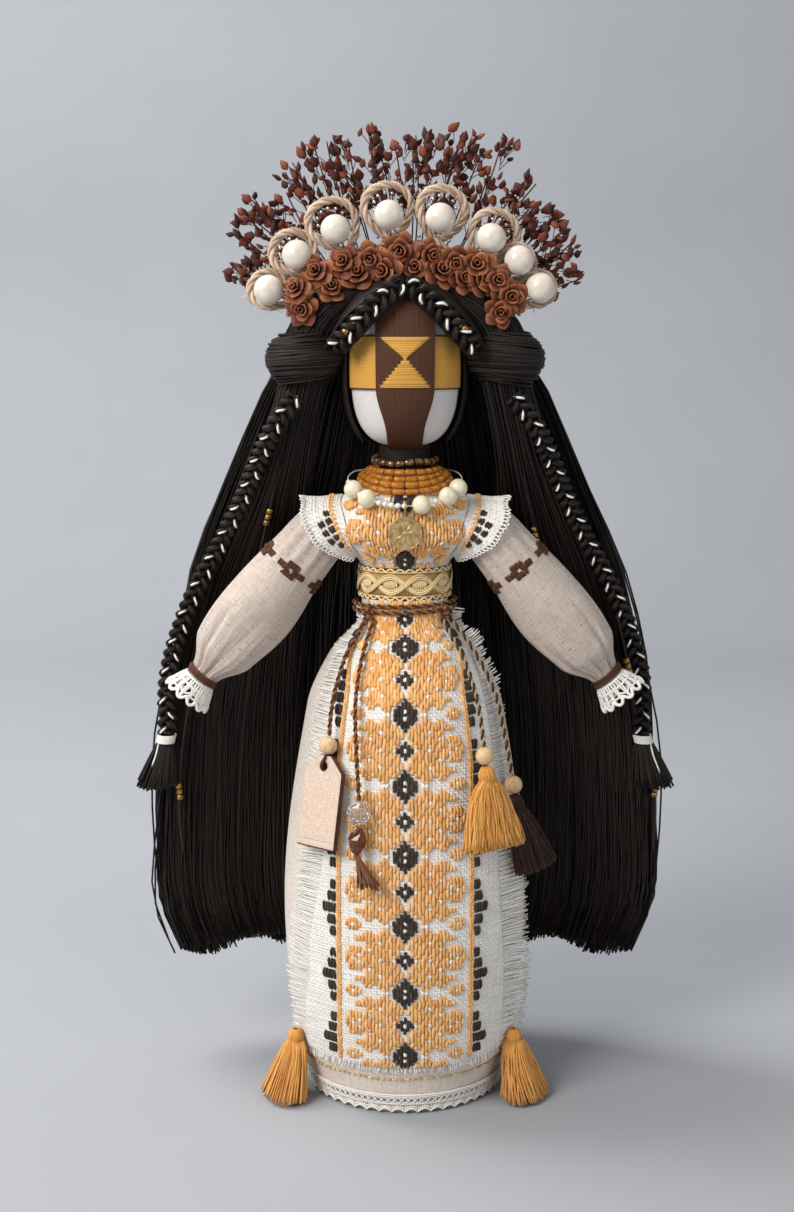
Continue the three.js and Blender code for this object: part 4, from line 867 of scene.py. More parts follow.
def chain_border(rows):
    """Chain stitch up both sides: two short stitches a row that meet in a point, 29.4 mm from the middle."""
    middle, row = 29.4 / COLUMN, np.arange(rows - 1)
    pairs = [(side * (middle + out), side * middle) for side in (-1, 1) for out in (-0.62, 0.62)]
    return [(a, r, b, r + 1.25) for a, b in pairs for r in row]


def side_blocks(rows, large_row):
    """Brown blocks outside the border: five a repeat, 3.4 rows apart, the middle one the widest."""
    found = []
    for repeat in range(large_row % REPEAT - REPEAT, rows + REPEAT, REPEAT):
        for step, count in zip(range(-2, 3), (2, 3, 5, 3, 2)):
            first = repeat - 4.4 + 3.4 * step
            if 0 < first < rows - 2.4:
                spots = 21.1 + 0.9 * np.arange(count)
                found += [(side * c, first, side * c, first + 2.4) for c in spots for side in (-1, 1)]
    return found


def stitched(lines, on_cloth, column=COLUMN, row=ROW, radius=0.82):
    """Long stitches as tubes: the ends dip into the cloth, and the middle stands proud by a sine to the 0.4.

    Each leans and wavers a little, as a hand-laid thread does."""
    lines = np.array(lines, float)
    count = len(lines)
    share = shares(6)
    waver = draw(-0.35, 0.35, count) * (share - 0.5)
    waver = waver + 0.1 * np.sin(2 * np.pi * share + draw(0, 6, count))
    across = lines[:, :1] + (lines[:, 2:3] - lines[:, :1]) * share + waver
    down = lines[:, 1:2] - 0.12 + (lines[:, 3:] - lines[:, 1:2] + 0.24) * share
    lift = -0.5 + 0.95 * np.sin(np.pi * (0.06 + 0.88 * share)) ** 0.4
    width = radius * (1 + 0.12 * draw(-1, 1, count) - 0.25 * np.abs(2 * share - 1) ** 3)
    return strands(on_cloth(across * column, down * row, lift), width, 5, tones(count))


def embroidery(name, rows, large_row, on_cloth, border, blocks):
    """Pieces of wool on one cloth: the chart's three colours, the chain border and the side blocks."""
    chart = floats(rows, large_row)
    chart["B"] += blocks
    made = []
    for letter, colour, wool, slot in WOOLS:
        made.append(piece(f"{name}_{colour}", stitched(chart[letter], on_cloth), wool, slot))
    if border:
        shape = stitched(border, on_cloth, radius=0.48)
        made.append(piece(f"{name}_border", shape, orange_yarn, "mustard_thread"))
    return made


print("stitches in one repeat:", {letter: len(found) for letter, found in floats(REPEAT, 10).items()})

# %% Apron
APRON_LENGTH = 210.5
APRON_HALF = 66
APRON_LARGE_ROW = 135
profile_z = np.linspace(225.7, 5, 900)
profile_run = lengths(np.stack([skirt_radius(profile_z), profile_z], axis=-1))


def on_apron(across, down, off):
    """Apron to space: down is measured along the skirt's outline, across round it.

    Near the waist the middle keeps its width while the sides crowd together:
    the angle is edge (1 + a) u / (1 + a u), with u the share of the half width."""
    z = np.interp(down, profile_run, profile_z)
    radius = skirt_radius(z)
    edge = np.minimum(APRON_HALF / radius, np.radians(80))
    u = across / APRON_HALF
    crowd = 1.2 * ease(0, 24, 44 - radius)
    angle = edge * (1 + crowd) * u / (1 + crowd * np.abs(u))
    return on_skirt(angle, z, off + 1.15)


def side_wave(across, down):
    """Loose sides: they lift off the skirt in slow waves, in tighter ruffles near the waist."""
    ruffle = 1.6 * np.sin(down / 3.1) * (1 - ease(30, 95, down))
    return ease(40, APRON_HALF, np.abs(across)) * (0.7 + 0.5 * np.sin(down / 9.0 + np.sign(across)) + ruffle)


def side_edge(sign, down):
    """Half width of the cloth: it lies askew, so its left side is drawn in above."""
    return np.where(sign < 0, 36 + 14 * ease(95, 190, down), 44 + 6 * ease(95, 190, down))


def apron_cloth():
    """Apron sheet, 0.75 mm thick, on the lines across and down."""
    share = np.linspace(-1, 1, 71)[None]
    down = np.linspace(0.3, APRON_LENGTH, 140)[:, None]
    across = share * side_edge(share, down)
    lift = side_wave(across, down)
    cloth = flat_map(across, down)
    return slab(on_apron(across, down, lift), on_apron(across, down, lift - 0.75), 0.5, cloth)


apron = piece("apron_cloth", apron_cloth(), gauze, "white_cotton", ["apron"], weld=True)
apron_rows = int(APRON_LENGTH / ROW)
apron_wool = embroidery("apron", apron_rows, APRON_LARGE_ROW, on_apron, chain_border(apron_rows),
                        side_blocks(apron_rows, APRON_LARGE_ROW))


def fringe():
    """Frayed edges: weft threads side by side that leave the sides, and short warp threads below.

    The side threads are nearly straight, two to a millimetre, and reach 11 to 16 mm past the cloth.
    Those on the right lie flat as far as the dark cord, which swings over them."""
    count = 2 * int(APRON_LENGTH - 6)
    share = shares(7)
    down = np.linspace(4, APRON_LENGTH - 0.5, count)[:, None] + draw(-0.25, 0.25, count)
    sides = []
    for sign, stand in ((-1, 0.8), (1, 3.8)):
        out = side_edge(sign, down) - 3 + draw(14, 19, count) * share
        bend = 1.4 * share**2 * np.sin(down / 13 + sign) + draw(-0.8, 0.8, count) * share**2
        under_cord = np.interp(down, [8, 88, 102], [44, 65, 0]) if sign > 0 else 0
        free = ease(0, 9, out - under_cord)
        stand_by = (stand + draw(-0.6, 1.0, count)) * share**2
        loft = np.minimum(side_wave(out, down) - 0.35, 0.1 + 3 * free) + stand_by * free
        sides.append(strands(on_apron(sign * out, down + bend, loft), 0.3, 3, tones(count, 0.4, 1)))
    count = 98
    across = np.linspace(-49, 49, count)[:, None] + draw(-0.3, 0.3, count)
    below_edge = APRON_LENGTH - 0.8 + draw(2.0, 4.2, count) * share
    loft = -0.2 + draw(0, 1.0, count) * share
    tips = on_apron(across + draw(-0.8, 0.8, count) * share, below_edge, loft)
    return merge(*sides, strands(tips, 0.3, 4, tones(count, 0.4, 1)))


apron_fringe = piece("apron_fringe", fringe(), white_yarn, "white_cotton")

# %% Hem tassels
SIDES = (("left", -1), ("right", 1))


def hem_tassel(sign):
    """Tassel at a corner of the apron, 62 degrees round from the front; its yarns lean out a little."""
    angle = np.radians(sign * 62)
    top = on_skirt(angle, 33, 3.98)
    out = np.array([np.sin(angle), -np.cos(angle), 0])
    side = np.array([-out[1], out[0], 0])
    up = np.array([0, 0, 1])
    def under(across, front, drop):
        across, front, drop = np.broadcast_arrays(across, front, drop)
        return top + across[..., None] * side + front[..., None] * out - drop[..., None] * up
    return tassel(under, 31.5, 14.5, 9.5, (0.1 * sign, 0.2))


for side, sign in SIDES:
    body = f"hem_tassel_{side}"
    piece(f"{body}_yarn", hem_tassel(sign), tassel_yarn, "mustard_thread", [body], body)

# %% [markdown]
# ## Belt and waist cord
#
# The belt is a woven gold braid: a ribbed band, two waves of three cords that cross each other, a ribbed oval
# in each of the spaces they leave, and small loops along both edges. Each cord is one tube round the waist
# whose height follows a sine, and it dips behind the other wave at every second crossing. The brown cord
# below it is the same twist as the hanging ends.

# %% Belt braid
def belt_braid():
    """Band with upright ribs; cords at z = middle + 3.4 sin(5 turn), the second wave half a period on; ovals
    of eight upright threads; and edge loops that follow the size of sin(15 turn)."""
    turn = circle(360)
    middle = 232.75
    z = np.array([226.4, 239.1, 239.1, 226.4])
    reach = np.array([20.0, 20.0, 18.9, 18.9])
    around = circle(480)[None]
    ribbed = reach[:, None] + np.array([0.16, 0.16, 0, 0])[:, None] * np.cos(120 * around)
    band = patch(round_z(ribbed, around, z[:, None]), True, True, 0.1)
    def cord_round(height, out, radius, tone):
        return strands(round_z(out, turn, height + 0 * turn), radius, 5, tone, True)
    parts = [band]
    for sign in (-1, 1):
        parts.append(cord_round(middle + sign * 5.3, 20.4, 0.42, 0.5))
        parts.append(cord_round(middle + sign * (5.3 + 1.5 * np.abs(np.sin(15 * turn))), 20.55, 0.42, 0.9))
        for shift in (-0.95, 0.0, 0.95):
            height = middle + sign * 3.4 * np.sin(5 * turn) + shift
            over = 20.8 + 0.5 * sign * np.cos(5 * turn)
            parts.append(cord_round(height, over, 0.46, 0.6 + 0.35 * (shift == 0)))
    oval = (np.arange(10)[:, None] + 0.5) * np.pi / 5
    side = np.linspace(-2.8, 2.8, 8)[None]
    tall = 1.9 * np.sqrt(1 - (side / 3.4) ** 2)
    at = (oval + side / 20.6).reshape(-1, 1)
    rise = np.tile(tall, (10, 1)).reshape(-1, 1) * np.linspace(-1, 1, 5)[None]
    bulge = 20.9 - 0.5 * np.linspace(-1, 1, 5)[None] ** 2
    threads = round_z(bulge, at, middle + rise)
    return merge(*parts, strands(threads, 0.42, 5, 0.75))


piece("belt_gimp", belt_braid(), gold_gimp, "gold_braid", ["belt_braid"], weld=True)


def waist_wind():
    """Two turns round the waist in a falling helix."""
    turn = np.linspace(0, 2, 220)
    line = spot(22.7 * np.sin(2 * np.pi * turn), 22.7 * np.cos(2 * np.pi * turn), 224.9 - 2.8 * turn)
    return twisted(line)


piece("waist_twist", waist_wind(), red_cord, "brown_cord", ["waist_cord"])


def waist_knot(angle):
    """Small overhand knot: a trefoil line on the cord, where two ends leave it."""
    t = circle(60)
    x = 1.6 * (np.sin(t) + 2 * np.sin(2 * t)) / 2
    z = 1.6 * (np.cos(t) - 2 * np.cos(2 * t)) / 2
    y = 24.4 - 0.8 * np.sin(3 * t)
    angle = np.radians(angle)
    line = spot(x * np.cos(angle) + y * np.sin(angle), x * np.sin(angle) - y * np.cos(angle), 220.4 + z)
    return strands(line, 1.0, 6, 0.5 + 0.45 * np.sign(np.sin(9 * t)), True)


piece("waist_knots", merge(waist_knot(-42), waist_knot(51)), red_cord, "brown_cord")

# %% [markdown]
# ## Torso, bodice and shoulder flaps
#
# The torso is a stuffed roll, and the bodice is cut from the apron's cloth, so it takes the same chart. Its
# surface is an oval that widens over the chest and closes in at the neck. The flaps cap the shoulders: each
# is stretched from a chain seam on the chest to an outer edge over the arm, which ends in small loops.

# %% Bodice
BODICE_OFF = 1.8
CHEST_ROUND = 31
chest_knots = [226, 239.5, 254.26, 264.92, 274.35, 280.5]
chest_width = through(chest_knots, [18.5, 18.5, 32.5, 30.9, 21.05, 11.5])
chest_depth = through(chest_knots, [18.5, 18.5, 27.5, 24.75, 18.77, 11.5])


def on_chest(angle, z, off):
    """Place over the bodice: its oval at z, plus 1.08 off square to its outline; angle 0 is the front."""
    def reach(at):
        wide, deep = chest_width(at) + BODICE_OFF, chest_depth(at) + BODICE_OFF
        return np.hypot(wide * np.sin(angle), deep * np.cos(angle))
    slope = reach(z + 0.5) - reach(z - 0.5)
    out = off * 1.08 / np.hypot(1, slope)
    wide, deep = chest_width(z) + BODICE_OFF + out, chest_depth(z) + BODICE_OFF + out
    return spot(wide * np.sin(angle), -deep * np.cos(angle), z - out * slope)


def chest_shell(low, high, outer, inner, rows, cols):
    """Closed shell: up the outside of the chest and down the inside."""
    turn = np.pi + circle(cols)[None]
    z = np.concatenate([np.linspace(low, high, rows), np.linspace(high, low, rows)])[:, None]
    off = np.concatenate([np.full(rows, outer), np.full(rows, inner)])[:, None]
    cloth = flat_map(turn * CHEST_ROUND, z + 0 * turn)
    return patch(on_chest(turn, z, off), True, True, 0.5, cloth)


def torso_roll():
    """Stuffed torso: the chest's oval without the cloth's thickness, closed at both ends, softly quilted."""
    turn = circle(96)[None]
    z = np.concatenate([[226.3], np.linspace(226.3, 280.0, 40), [280.0]])[:, None]
    shut = np.concatenate([[0], np.ones(40), [0]])[:, None]
    quilt = 0.12 * np.cos(12 * turn) * np.cos(z / 4)
    wide, deep = shut * (chest_width(z) - 0.3 + quilt), shut * (chest_depth(z) - 0.3 + quilt)
    cloth = flat_map(turn * 30, z + 0 * turn)
    return patch(spot(wide * np.sin(turn), -deep * np.cos(turn), z + 0 * turn), False, True, 0.5, cloth)


torso = piece("torso_roll", torso_roll(), linen, "stuffing", ["torso"], weld=True)
bodice_shape = chest_shell(239.9, 279.4, -0.35, -1.1, 34, 160)
bodice = piece("bodice_cloth", bodice_shape, gauze, "white_cotton", ["bodice"], weld=True)

chest_z = np.linspace(277.5, 240.2, 400)
chest_run = lengths(np.stack([chest_depth(chest_z) + BODICE_OFF, chest_z], axis=-1))


def on_bodice(across, down, off):
    """Bodice to space: down runs along the front outline from the neck, across round the chest."""
    return on_chest(across / CHEST_ROUND, np.interp(down, chest_run, chest_z), off)


bodice_rows = int(chest_run[-1] / ROW)
bodice_large = round(np.interp(-244.3, -chest_z, chest_run) / ROW)
bodice_wool = embroidery("bodice", bodice_rows, bodice_large, on_bodice, [], [])
leaf_half = np.array([0.6, 1.2, 1.6, 1.6, 1.2, 0.6])
leaf_places = [(-20.5, 8.5), (15.5, 8.5)]
leaves = [(c + k, r - half, c + k, r + half) for c, r in leaf_places for k, half in enumerate(leaf_half)]
leaf_shape = stitched(leaves, on_bodice)
bodice_wool.append(piece("bodice_leaves", leaf_shape, orange_yarn, "mustard_thread"))

# %% Arm frames and shoulder flaps
Arm = namedtuple("Arm", "shoulder along up front")
ARM_SLOPE = np.radians(50.5)


def arm_frame(sign):
    """Axes of an arm: along it to the hand, up square to it, and front."""
    along = np.array([sign * np.cos(ARM_SLOPE), 0, -np.sin(ARM_SLOPE)])
    up = np.array([sign * np.sin(ARM_SLOPE), 0, np.cos(ARM_SLOPE)])
    return Arm(np.array([sign * 38.0, -6.0, 253.5]), along, up, np.array([0.0, -1.0, 0.0]))


arms = {side: arm_frame(sign) for side, sign in SIDES}
FLAP_LENGTH, FLAP_DEPTH, EDGE_STEPS = 72, 16, 120


def in_arm(arm, along, reach, turn):
    """Place by the distance along the arm, the reach from its axis and the turn from up towards the front."""
    along, reach, turn = np.broadcast_arrays(along, reach, turn)
    ring = np.cos(turn)[..., None] * arm.up + np.sin(turn)[..., None] * arm.front
    return arm.shoulder + along[..., None] * arm.along + reach[..., None] * ring


def flap_edges(sign):
    """Two edges of a flap, from the front armpit over the shoulder to the back one.

    The inner edge lies on the chest, where the chain is sewn; the outer edge stands over the arm."""
    turn = np.radians([53, 47, 47, 54, 74, 90, 106, 126, 133, 133, 127])
    z = np.array([245.6, 251, 256.5, 263, 269.3, 270.8, 269.3, 263, 256.5, 251, 245.6])
    inner = on_chest(turn, z, -0.1)
    outer = [(22.5, -12.0, 243.6), (30, -17.0, 246.2), (37.5, -20.4, 252.4), (42, -18.6, 260.2),
             (42.8, -11.5, 267.6), (43, -6, 269.6), (42.8, -0.5, 267.6), (42, 6.6, 260.2), (37.5, 8.4, 252.4),
             (30, 9, 246.2), (22.5, 12, 243.6)]
    return [route(mirrored(edge, sign), EDGE_STEPS + 1) for edge in (inner, outer)]


FLAP_EDGES = {sign: flap_edges(sign) for sign in (-1, 1)}


def on_flap(arm, across, down, off):
    """Flap to space: across runs along its edges from the top of the shoulder, down from edge to edge.

    A place on the straight line between the edges is pushed out of a ball of 14.2 mm round the shoulder,
    and the last half flares out in a frill."""
    across, down, off = np.broadcast_arrays(across, down, off)
    sign = int(np.sign(arm.shoulder[0]))
    at = np.clip(0.5 + across / FLAP_LENGTH, 0, 1) * EDGE_STEPS
    steps = np.arange(EDGE_STEPS + 1)
    start, end = (np.stack([np.interp(at, steps, edge[:, k]) for k in range(3)], axis=-1)
                  for edge in FLAP_EDGES[sign])
    share = down / FLAP_DEPTH
    away = start + (end - start) * share[..., None] - arm.shoulder
    far = np.linalg.norm(away, axis=-1, keepdims=True)
    place = arm.shoulder + away / far * np.maximum(far, 14.2)
    frill = ease(0.6, 1.1, share) * (0.9 + 0.4 * np.sin(at / 3) + 0.25 * np.sin(at / 1.8))
    return place + (off + frill)[..., None] * unit(place - np.array([24 * sign, -2, 252]))


def flap(arm):
    """Flap cloth, and its openwork edge: 52 loops of thread that each start and end on the hem."""
    across = np.linspace(-FLAP_LENGTH / 2, FLAP_LENGTH / 2, 110)[None]
    down = np.linspace(0, FLAP_DEPTH, 28)[:, None]
    cloth = flat_map(across, down)
    sheet = slab(on_flap(arm, across, down, 0.3), on_flap(arm, across, down, -0.3), 0.5, cloth)
    share = shares(9)
    count = 52
    start = np.linspace(-35, 35, count)[:, None]
    tip = 15.6 + draw(2.0, 2.8, count) * np.sin(np.pi * share)
    swing = start + 1.7 * (share - 0.5)
    loops = on_flap(arm, swing, tip, 0.2 + 0.4 * np.sin(np.pi * share))
    return sheet, strands(loops, 0.32, 4, tones(count, 0.4, 1))


flap_brown = []
for centre in (-17.8, -15.4, -13, -10.6, -8.2, 8.2, 10.6, 13, 15.4, 17.8):
    for first in (4.5, 6.9) if abs(abs(centre) - 13) < 3 else (4.5,):
        flap_brown += [(centre - 0.75, first + 0.9 * k, centre + 0.75, first + 0.9 * k) for k in range(2)]
flap_gold = [(c, 2.7 + low, c + 1.2, 3.3) for c in np.arange(-21, 21, 1.4) for low in (0, 1.2)]
for side, arm in arms.items():
    sheet, loops = flap(arm)
    here = partial(on_flap, arm)
    flap_piece = piece(f"flap_{side}", sheet, gauze, "white_cotton", weld=True)
    bodice_wool.append(piece(f"flap_fringe_{side}", loops, white_yarn, "white_cotton"))
    blocks, chain = stitched(flap_brown, here), stitched(flap_gold, here, radius=0.55)
    bodice_wool.append(piece(f"flap_brown_{side}", blocks, brown_yarn, "brown_thread"))
    bodice_wool.append(piece(f"flap_chain_{side}", chain, orange_yarn, "mustard_thread"))

# %% [markdown]
# ## Sleeves, ties and cuffs
#
# A sleeve is a stuffed bag of linen: round at the shoulder, full at the elbow, and drawn in to the wrist by
# a brown tie. The tie folds the cloth into sharp gathers, so the surface is the turned outline plus ripples
# that grow towards the wrist, with soft waves above. Below the tie a small crochet cuff flares out.

# %% Sleeves
SHOULDER, SLEEVE_END, ARM_ROUND = 13, 84, 15
sleeve_radius = through([0, 6, 43.7, 67.2, 80.3, SLEEVE_END], [SHOULDER, 13.2, 17, 13.6, 6.5, 6.5])


def sleeve_reach(along, turn):
    """Outline of the sleeve plus its gathers: the size of a sine of five turns, sharp in the valleys."""
    along, turn = np.broadcast_arrays(along, turn)
    ball = np.sqrt(np.maximum(SHOULDER**2 - np.minimum(along, 0) ** 2, 0))
    plain = np.where(along < 0, ball, sleeve_radius(along))
    wrist = ease(35, 76, along) * (1 - 0.6 * ease(77, 83, along))
    ripple = np.abs(np.sin(5 * turn + 0.7 * np.sin(2 * turn) + along / 60)) ** 0.7 - 0.62
    fine = 0.25 * np.cos(23 * turn + 2 * np.sin(3 * turn))
    top = 0.45 * np.cos(13 * turn) * ease(-2, 4, along) * (1 - ease(8, 28, along))
    soft = 0.4 * np.sin(3 * turn + along / 9) * ease(10, 30, along) * (1 - ease(55, 75, along))
    return np.maximum(plain + wrist * (2.4 * ripple + fine) + top + soft, 0)


def on_sleeve(arm, across, down, off):
    """Sleeve to space: across is measured round a 15 mm arm from its front, down from the shoulder."""
    turn = across / ARM_ROUND + np.pi / 2
    return in_arm(arm, down, sleeve_reach(down, turn) + off, turn)


def sleeve(arm):
    """Bag: half a ball over the shoulder, then the outline, closed at the wrist."""
    shoulder = -SHOULDER * np.cos(np.linspace(0, np.pi / 2, 14))
    along = np.concatenate([shoulder, np.linspace(1, SLEEVE_END, 84), [SLEEVE_END]])[:, None]
    turn = -np.pi / 2 + circle(180)[None]
    reach = sleeve_reach(along, turn)
    reach[0], reach[-1] = 0, 0
    cloth = flat_map(turn * ARM_ROUND, along + 0 * turn)
    return patch(in_arm(arm, along, reach, turn), False, True, 0.5, cloth)


MOTIF = ("..XXX..", "XXX.XXX", "..XXX..")
cells = [(c, r) for r, marks in enumerate(MOTIF) for c, mark in enumerate(marks) if mark == "X"]
middles = [(c - 3 + 8.98 * k, r + 7.3) for k in range(-2, 3) for c, r in cells]
motif_lines = [(c + thread, r, c + thread, r + 1) for c, r in middles for thread in (-0.33, 0, 0.33)]


def wrist_tie(arm):
    """Brown thread wound six times round the gathers."""
    turn = np.linspace(0, 6, 200)
    line = in_arm(arm, 80.7 + 0.5 * turn, 7.3 + 0.35 * np.sin(7 * turn), 2 * np.pi * turn)
    return strands(line, 0.5, 5, 0.5)


def cuff(arm):
    """Crochet cuff: rings that widen from the tie, 36 spokes, and a thick edge of 12 scallops."""
    turn = circle(240)
    def flare(along):
        return 6.7 + 4.8 * ((along - 84.3) / 11) ** 0.8
    def ring(along, height=0.0):
        at = along + height * np.abs(np.sin(6 * turn))
        return in_arm(arm, at, flare(at), turn)
    rings = [strands(ring(at), 0.55, 5, 0.7, True) for at in (84.9, 87.8)]
    rings += [strands(ring(90.4, 1.2), 0.5, 5, 0.6, True), strands(ring(91.8, 2.6), 0.75, 6, 0.8, True)]
    count, top = 36, 84.9
    spoke = circle(count)[:, None]
    far = 92.0 + 2.4 * np.abs(np.sin(6 * spoke))
    down = top + (far - top) * shares(7)
    lean = 0.07 * np.where(np.arange(count)[:, None] % 2, 1, -1) * shares(7)
    spokes = in_arm(arm, down, flare(down), spoke + lean)
    return merge(*rings, strands(spokes, 0.5, 4, tones(count, 0.5, 1)))


for side, arm in arms.items():
    body = f"arm_{side}"
    bag = piece(f"sleeve_{side}_bag", sleeve(arm), sleeve_linen, "linen", [f"sleeve_{side}"], body, weld=True)
    motif = stitched(motif_lines, partial(on_sleeve, arm), 2.1, 2.1, 0.45)
    piece(f"sleeve_motif_{side}", motif, face_brown, "brown_thread", body=body)
    piece(f"wrist_{side}_wind", wrist_tie(arm), face_brown, "brown_thread", [f"wrist_tie_{side}"], body)
    piece(f"cuff_{side}_crochet", cuff(arm), lace_thread, "white_cotton", [f"cuff_{side}"], body)

# %% [markdown]
# ## Head and face
#
# The head is a hard roll wound with white thread, and the face is a cross of thread bands, with no features
# at all. Thread wound side by side reads as fine ridges, so the head and bands are turned grids with one
# ridge a thread. The hourglass where the bands cross is made of single threads, each a little wider than
# the one nearer its waist, which gives its stepped outline.

# %% Head, bands and neck
HEAD_RADIUS, HEAD_MIDDLE, CHIN_DROP, TOP_RISE = 24, 326.78, 34.78, 39.22


def head_line(turn, off):
    """Radius and height of the head's outline: 1 - share^p to the 1 / p, fuller below than above."""
    rise = np.where(turn < 0, CHIN_DROP, TOP_RISE)
    power = np.where(turn < 0, 2.8, 2.2)
    share = np.abs(np.sin(turn))
    radius = HEAD_RADIUS * np.maximum(1 - share**power, 0) ** (1 / power)
    return radius + off * np.cos(turn), HEAD_MIDDLE + (rise + off) * np.sin(turn)


def turn_at(z):
    """Angle of the outline at height z."""
    rise = np.where(z < HEAD_MIDDLE, CHIN_DROP, TOP_RISE)
    return np.arcsin(np.clip((z - HEAD_MIDDLE) / rise, -1, 1))


def wound_head():
    """Head: the outline with a ridge of 0.14 mm for each 0.75 mm of height."""
    turn = np.linspace(-np.pi / 2, np.pi / 2, 320)[:, None]
    radius, z = head_line(turn, 0.0)
    radius = np.maximum(radius + 0.14 * np.cos(2 * np.pi * z / 0.75) * np.cos(turn), 0)
    radius[0], radius[-1] = 0, 0
    around = circle(72)[None]
    return patch(round_z(radius, around, z), False, True, 0.6)


piece("head_winding", wound_head(), face_white, "white_thread", ["head"], weld=True)


def cross_band():
    """Mustard band: rows of thread round the head between two heights, ridged, closed behind."""
    z = np.linspace(318.2, 339.7, 156)
    turn = turn_at(z)
    outer, high = head_line(turn, 0.95)
    outer = outer + 0.1 * np.cos(2 * np.pi * z / 0.56)
    inner, low = head_line(turn[::-31], 0.35)
    around = circle(96)[None]
    radius = np.concatenate([outer, inner])[:, None]
    height = np.concatenate([high, low])[:, None]
    thread = np.concatenate([0.5 + 0.3 * np.sin(z * 7.3), 0.4 + 0 * low])[:, None]
    points = round_z(radius, around, height + 0 * around)
    return patch(points, True, True, thread + 0 * around)


piece("cross_band_winding", cross_band(), mustard_thread, "mustard_thread", ["face_band_cross"],
      weld=True)


def upright_band():
    """Brown band: upright threads from the chin to the crown; its half width narrows towards the chin."""
    turn = np.linspace(np.radians(-77), np.radians(64), 56)[:, None]
    _, z = head_line(turn, 1.5)
    half = through([288, 300, 318, 380], [7, 8.2, 12.6, 13])(z)
    share = np.linspace(-1, 1, 145)[None]
    x = half * share
    def lay(off):
        radius, height = head_line(turn, off)
        return spot(x, -np.sqrt(np.maximum(radius**2 - x**2, 1)), height + 0 * x)
    ridge = 0.1 * np.cos(48 * np.pi * share)
    thread = 0.45 + 0.12 * np.sin(57 * share + 3 * np.sin(9 * share))
    return slab(lay(2.0 + ridge), lay(1.35 + 0 * ridge), thread + 0 * turn)


piece("upright_band_winding", upright_band(), face_brown, "brown_thread", ["face_band_upright"],
      weld=True)


def hourglass():
    """Mustard hourglass: 30 level threads; the half width grows evenly above the waist, below it in steps."""
    waist, step = 331, 1.43
    z = np.linspace(318.6, 339.4, 30)[:, None]
    far = np.where(z > waist, (z - waist) / 8.4, np.floor((waist - z) / step) * step / 11.6)
    half = 0.6 + 10.6 * np.clip(far, 0, 1)
    share = np.linspace(-1, 1, 13)[None]
    x = half * share
    radius, _ = head_line(turn_at(z), 2.45)
    lift = radius - 0.9 * np.abs(share) ** 8
    return strands(spot(x, -np.sqrt(lift**2 - x**2), z), 0.4, 5, tones(30, 0.4, 0.9))


piece("hourglass_threads", hourglass(), mustard_thread, "mustard_thread", ["face_hourglass"])


def edge_threads():
    """Dark threads along both edges of the cross band."""
    around = circle(160)
    rings = []
    for z in (317.9, 340.0):
        radius, height = head_line(turn_at(np.array(z)), 0.9)
        line = round_z(radius, around, height)
        rings.append(strands(line, 0.32, 5, 0.4, True))
    return merge(*rings)


piece("face_edge_threads", edge_threads(), face_brown, "brown_thread")

neck_z = np.linspace(280.4, 292.5, 120)
neck_shape = turned(ring_profile(11.3 + 0.2 * np.cos(2 * np.pi * neck_z / 0.9), 4.5, neck_z), 96)
piece("neck_winding", neck_shape, hair_yarn, "brown_thread", ["neck_wrap"], weld=True)

# %% [markdown]
# ## Necklaces and coin
#
# Strings lie on each other round the neck: dark bugle beads, rows of amber glass tubes, and cream beads with
# small white ones between them. A tube bead is a short stretch of its string's line, thicker than the string.
# A worn coin hangs on a small ring; it gets a plain rosette and a beaded rim.

# %% Strings of beads
def string_line(front, back, off, dip=2.2):
    """Necklace line by angle: front and back heights mixed by ((1 + cos) / 2) to the power of dip."""
    def at(angle):
        return on_chest(angle, back + (front - back) * ((1 + np.cos(angle)) / 2) ** dip, off)
    return at


def neck_line(angle):
    """Loose string round the neck: a circle of 13.8 mm that hangs lower in front, in uneven waves."""
    wave = 0.5 * np.sin(2 * angle + 0.7) + 0.3 * np.sin(5 * angle) - 1.7 * ((1 + np.cos(angle)) / 2) ** 2
    return round_z(13.8, angle, 286.9 + wave)


def tube_beads(line, count, share, radius):
    """Tube beads: bead k covers a share of the k-th part of the full turn, with rounded ends."""
    start = np.linspace(-np.pi, np.pi, count, endpoint=False)[:, None] + draw(0, 0.02, count)
    at = start + 2 * np.pi / count * share * np.array([0, 0.06, 0.5, 0.94, 1])[None]
    wall = radius * np.array([0.75, 1, 1, 1, 0.75])[None]
    return strands(line(at), wall, 8, tones(count, 0.1, 0.9))


def round_string(line, radius):
    """Closed string along a necklace line."""
    return strands(line(np.linspace(-np.pi, np.pi, 200, endpoint=False)), radius, 5, 0.5, closed=True)


bugles = merge(tube_beads(neck_line, 20, 0.86, 1.5), round_string(neck_line, 0.4))
piece("bugle_beads", bugles, bugle_glass, "bronze_glass", ["bugle_necklace"])
amber_lines = [string_line(281.6 - 2.3 * k, 281.2 - 0.5 * k, 1.9 + 0.5 * (k % 2)) for k in range(5)]
amber_rows = [tube_beads(line, 20 + 2 * k, 0.94, 1.4) for k, line in enumerate(amber_lines)]
amber_strings = [round_string(line, 0.5) for line in amber_lines]
piece("amber_beads", merge(*amber_rows), amber_glass, "amber_glass", ["amber_necklace"])
piece("amber_strings", merge(*amber_strings), beige_cord, "white_cotton")

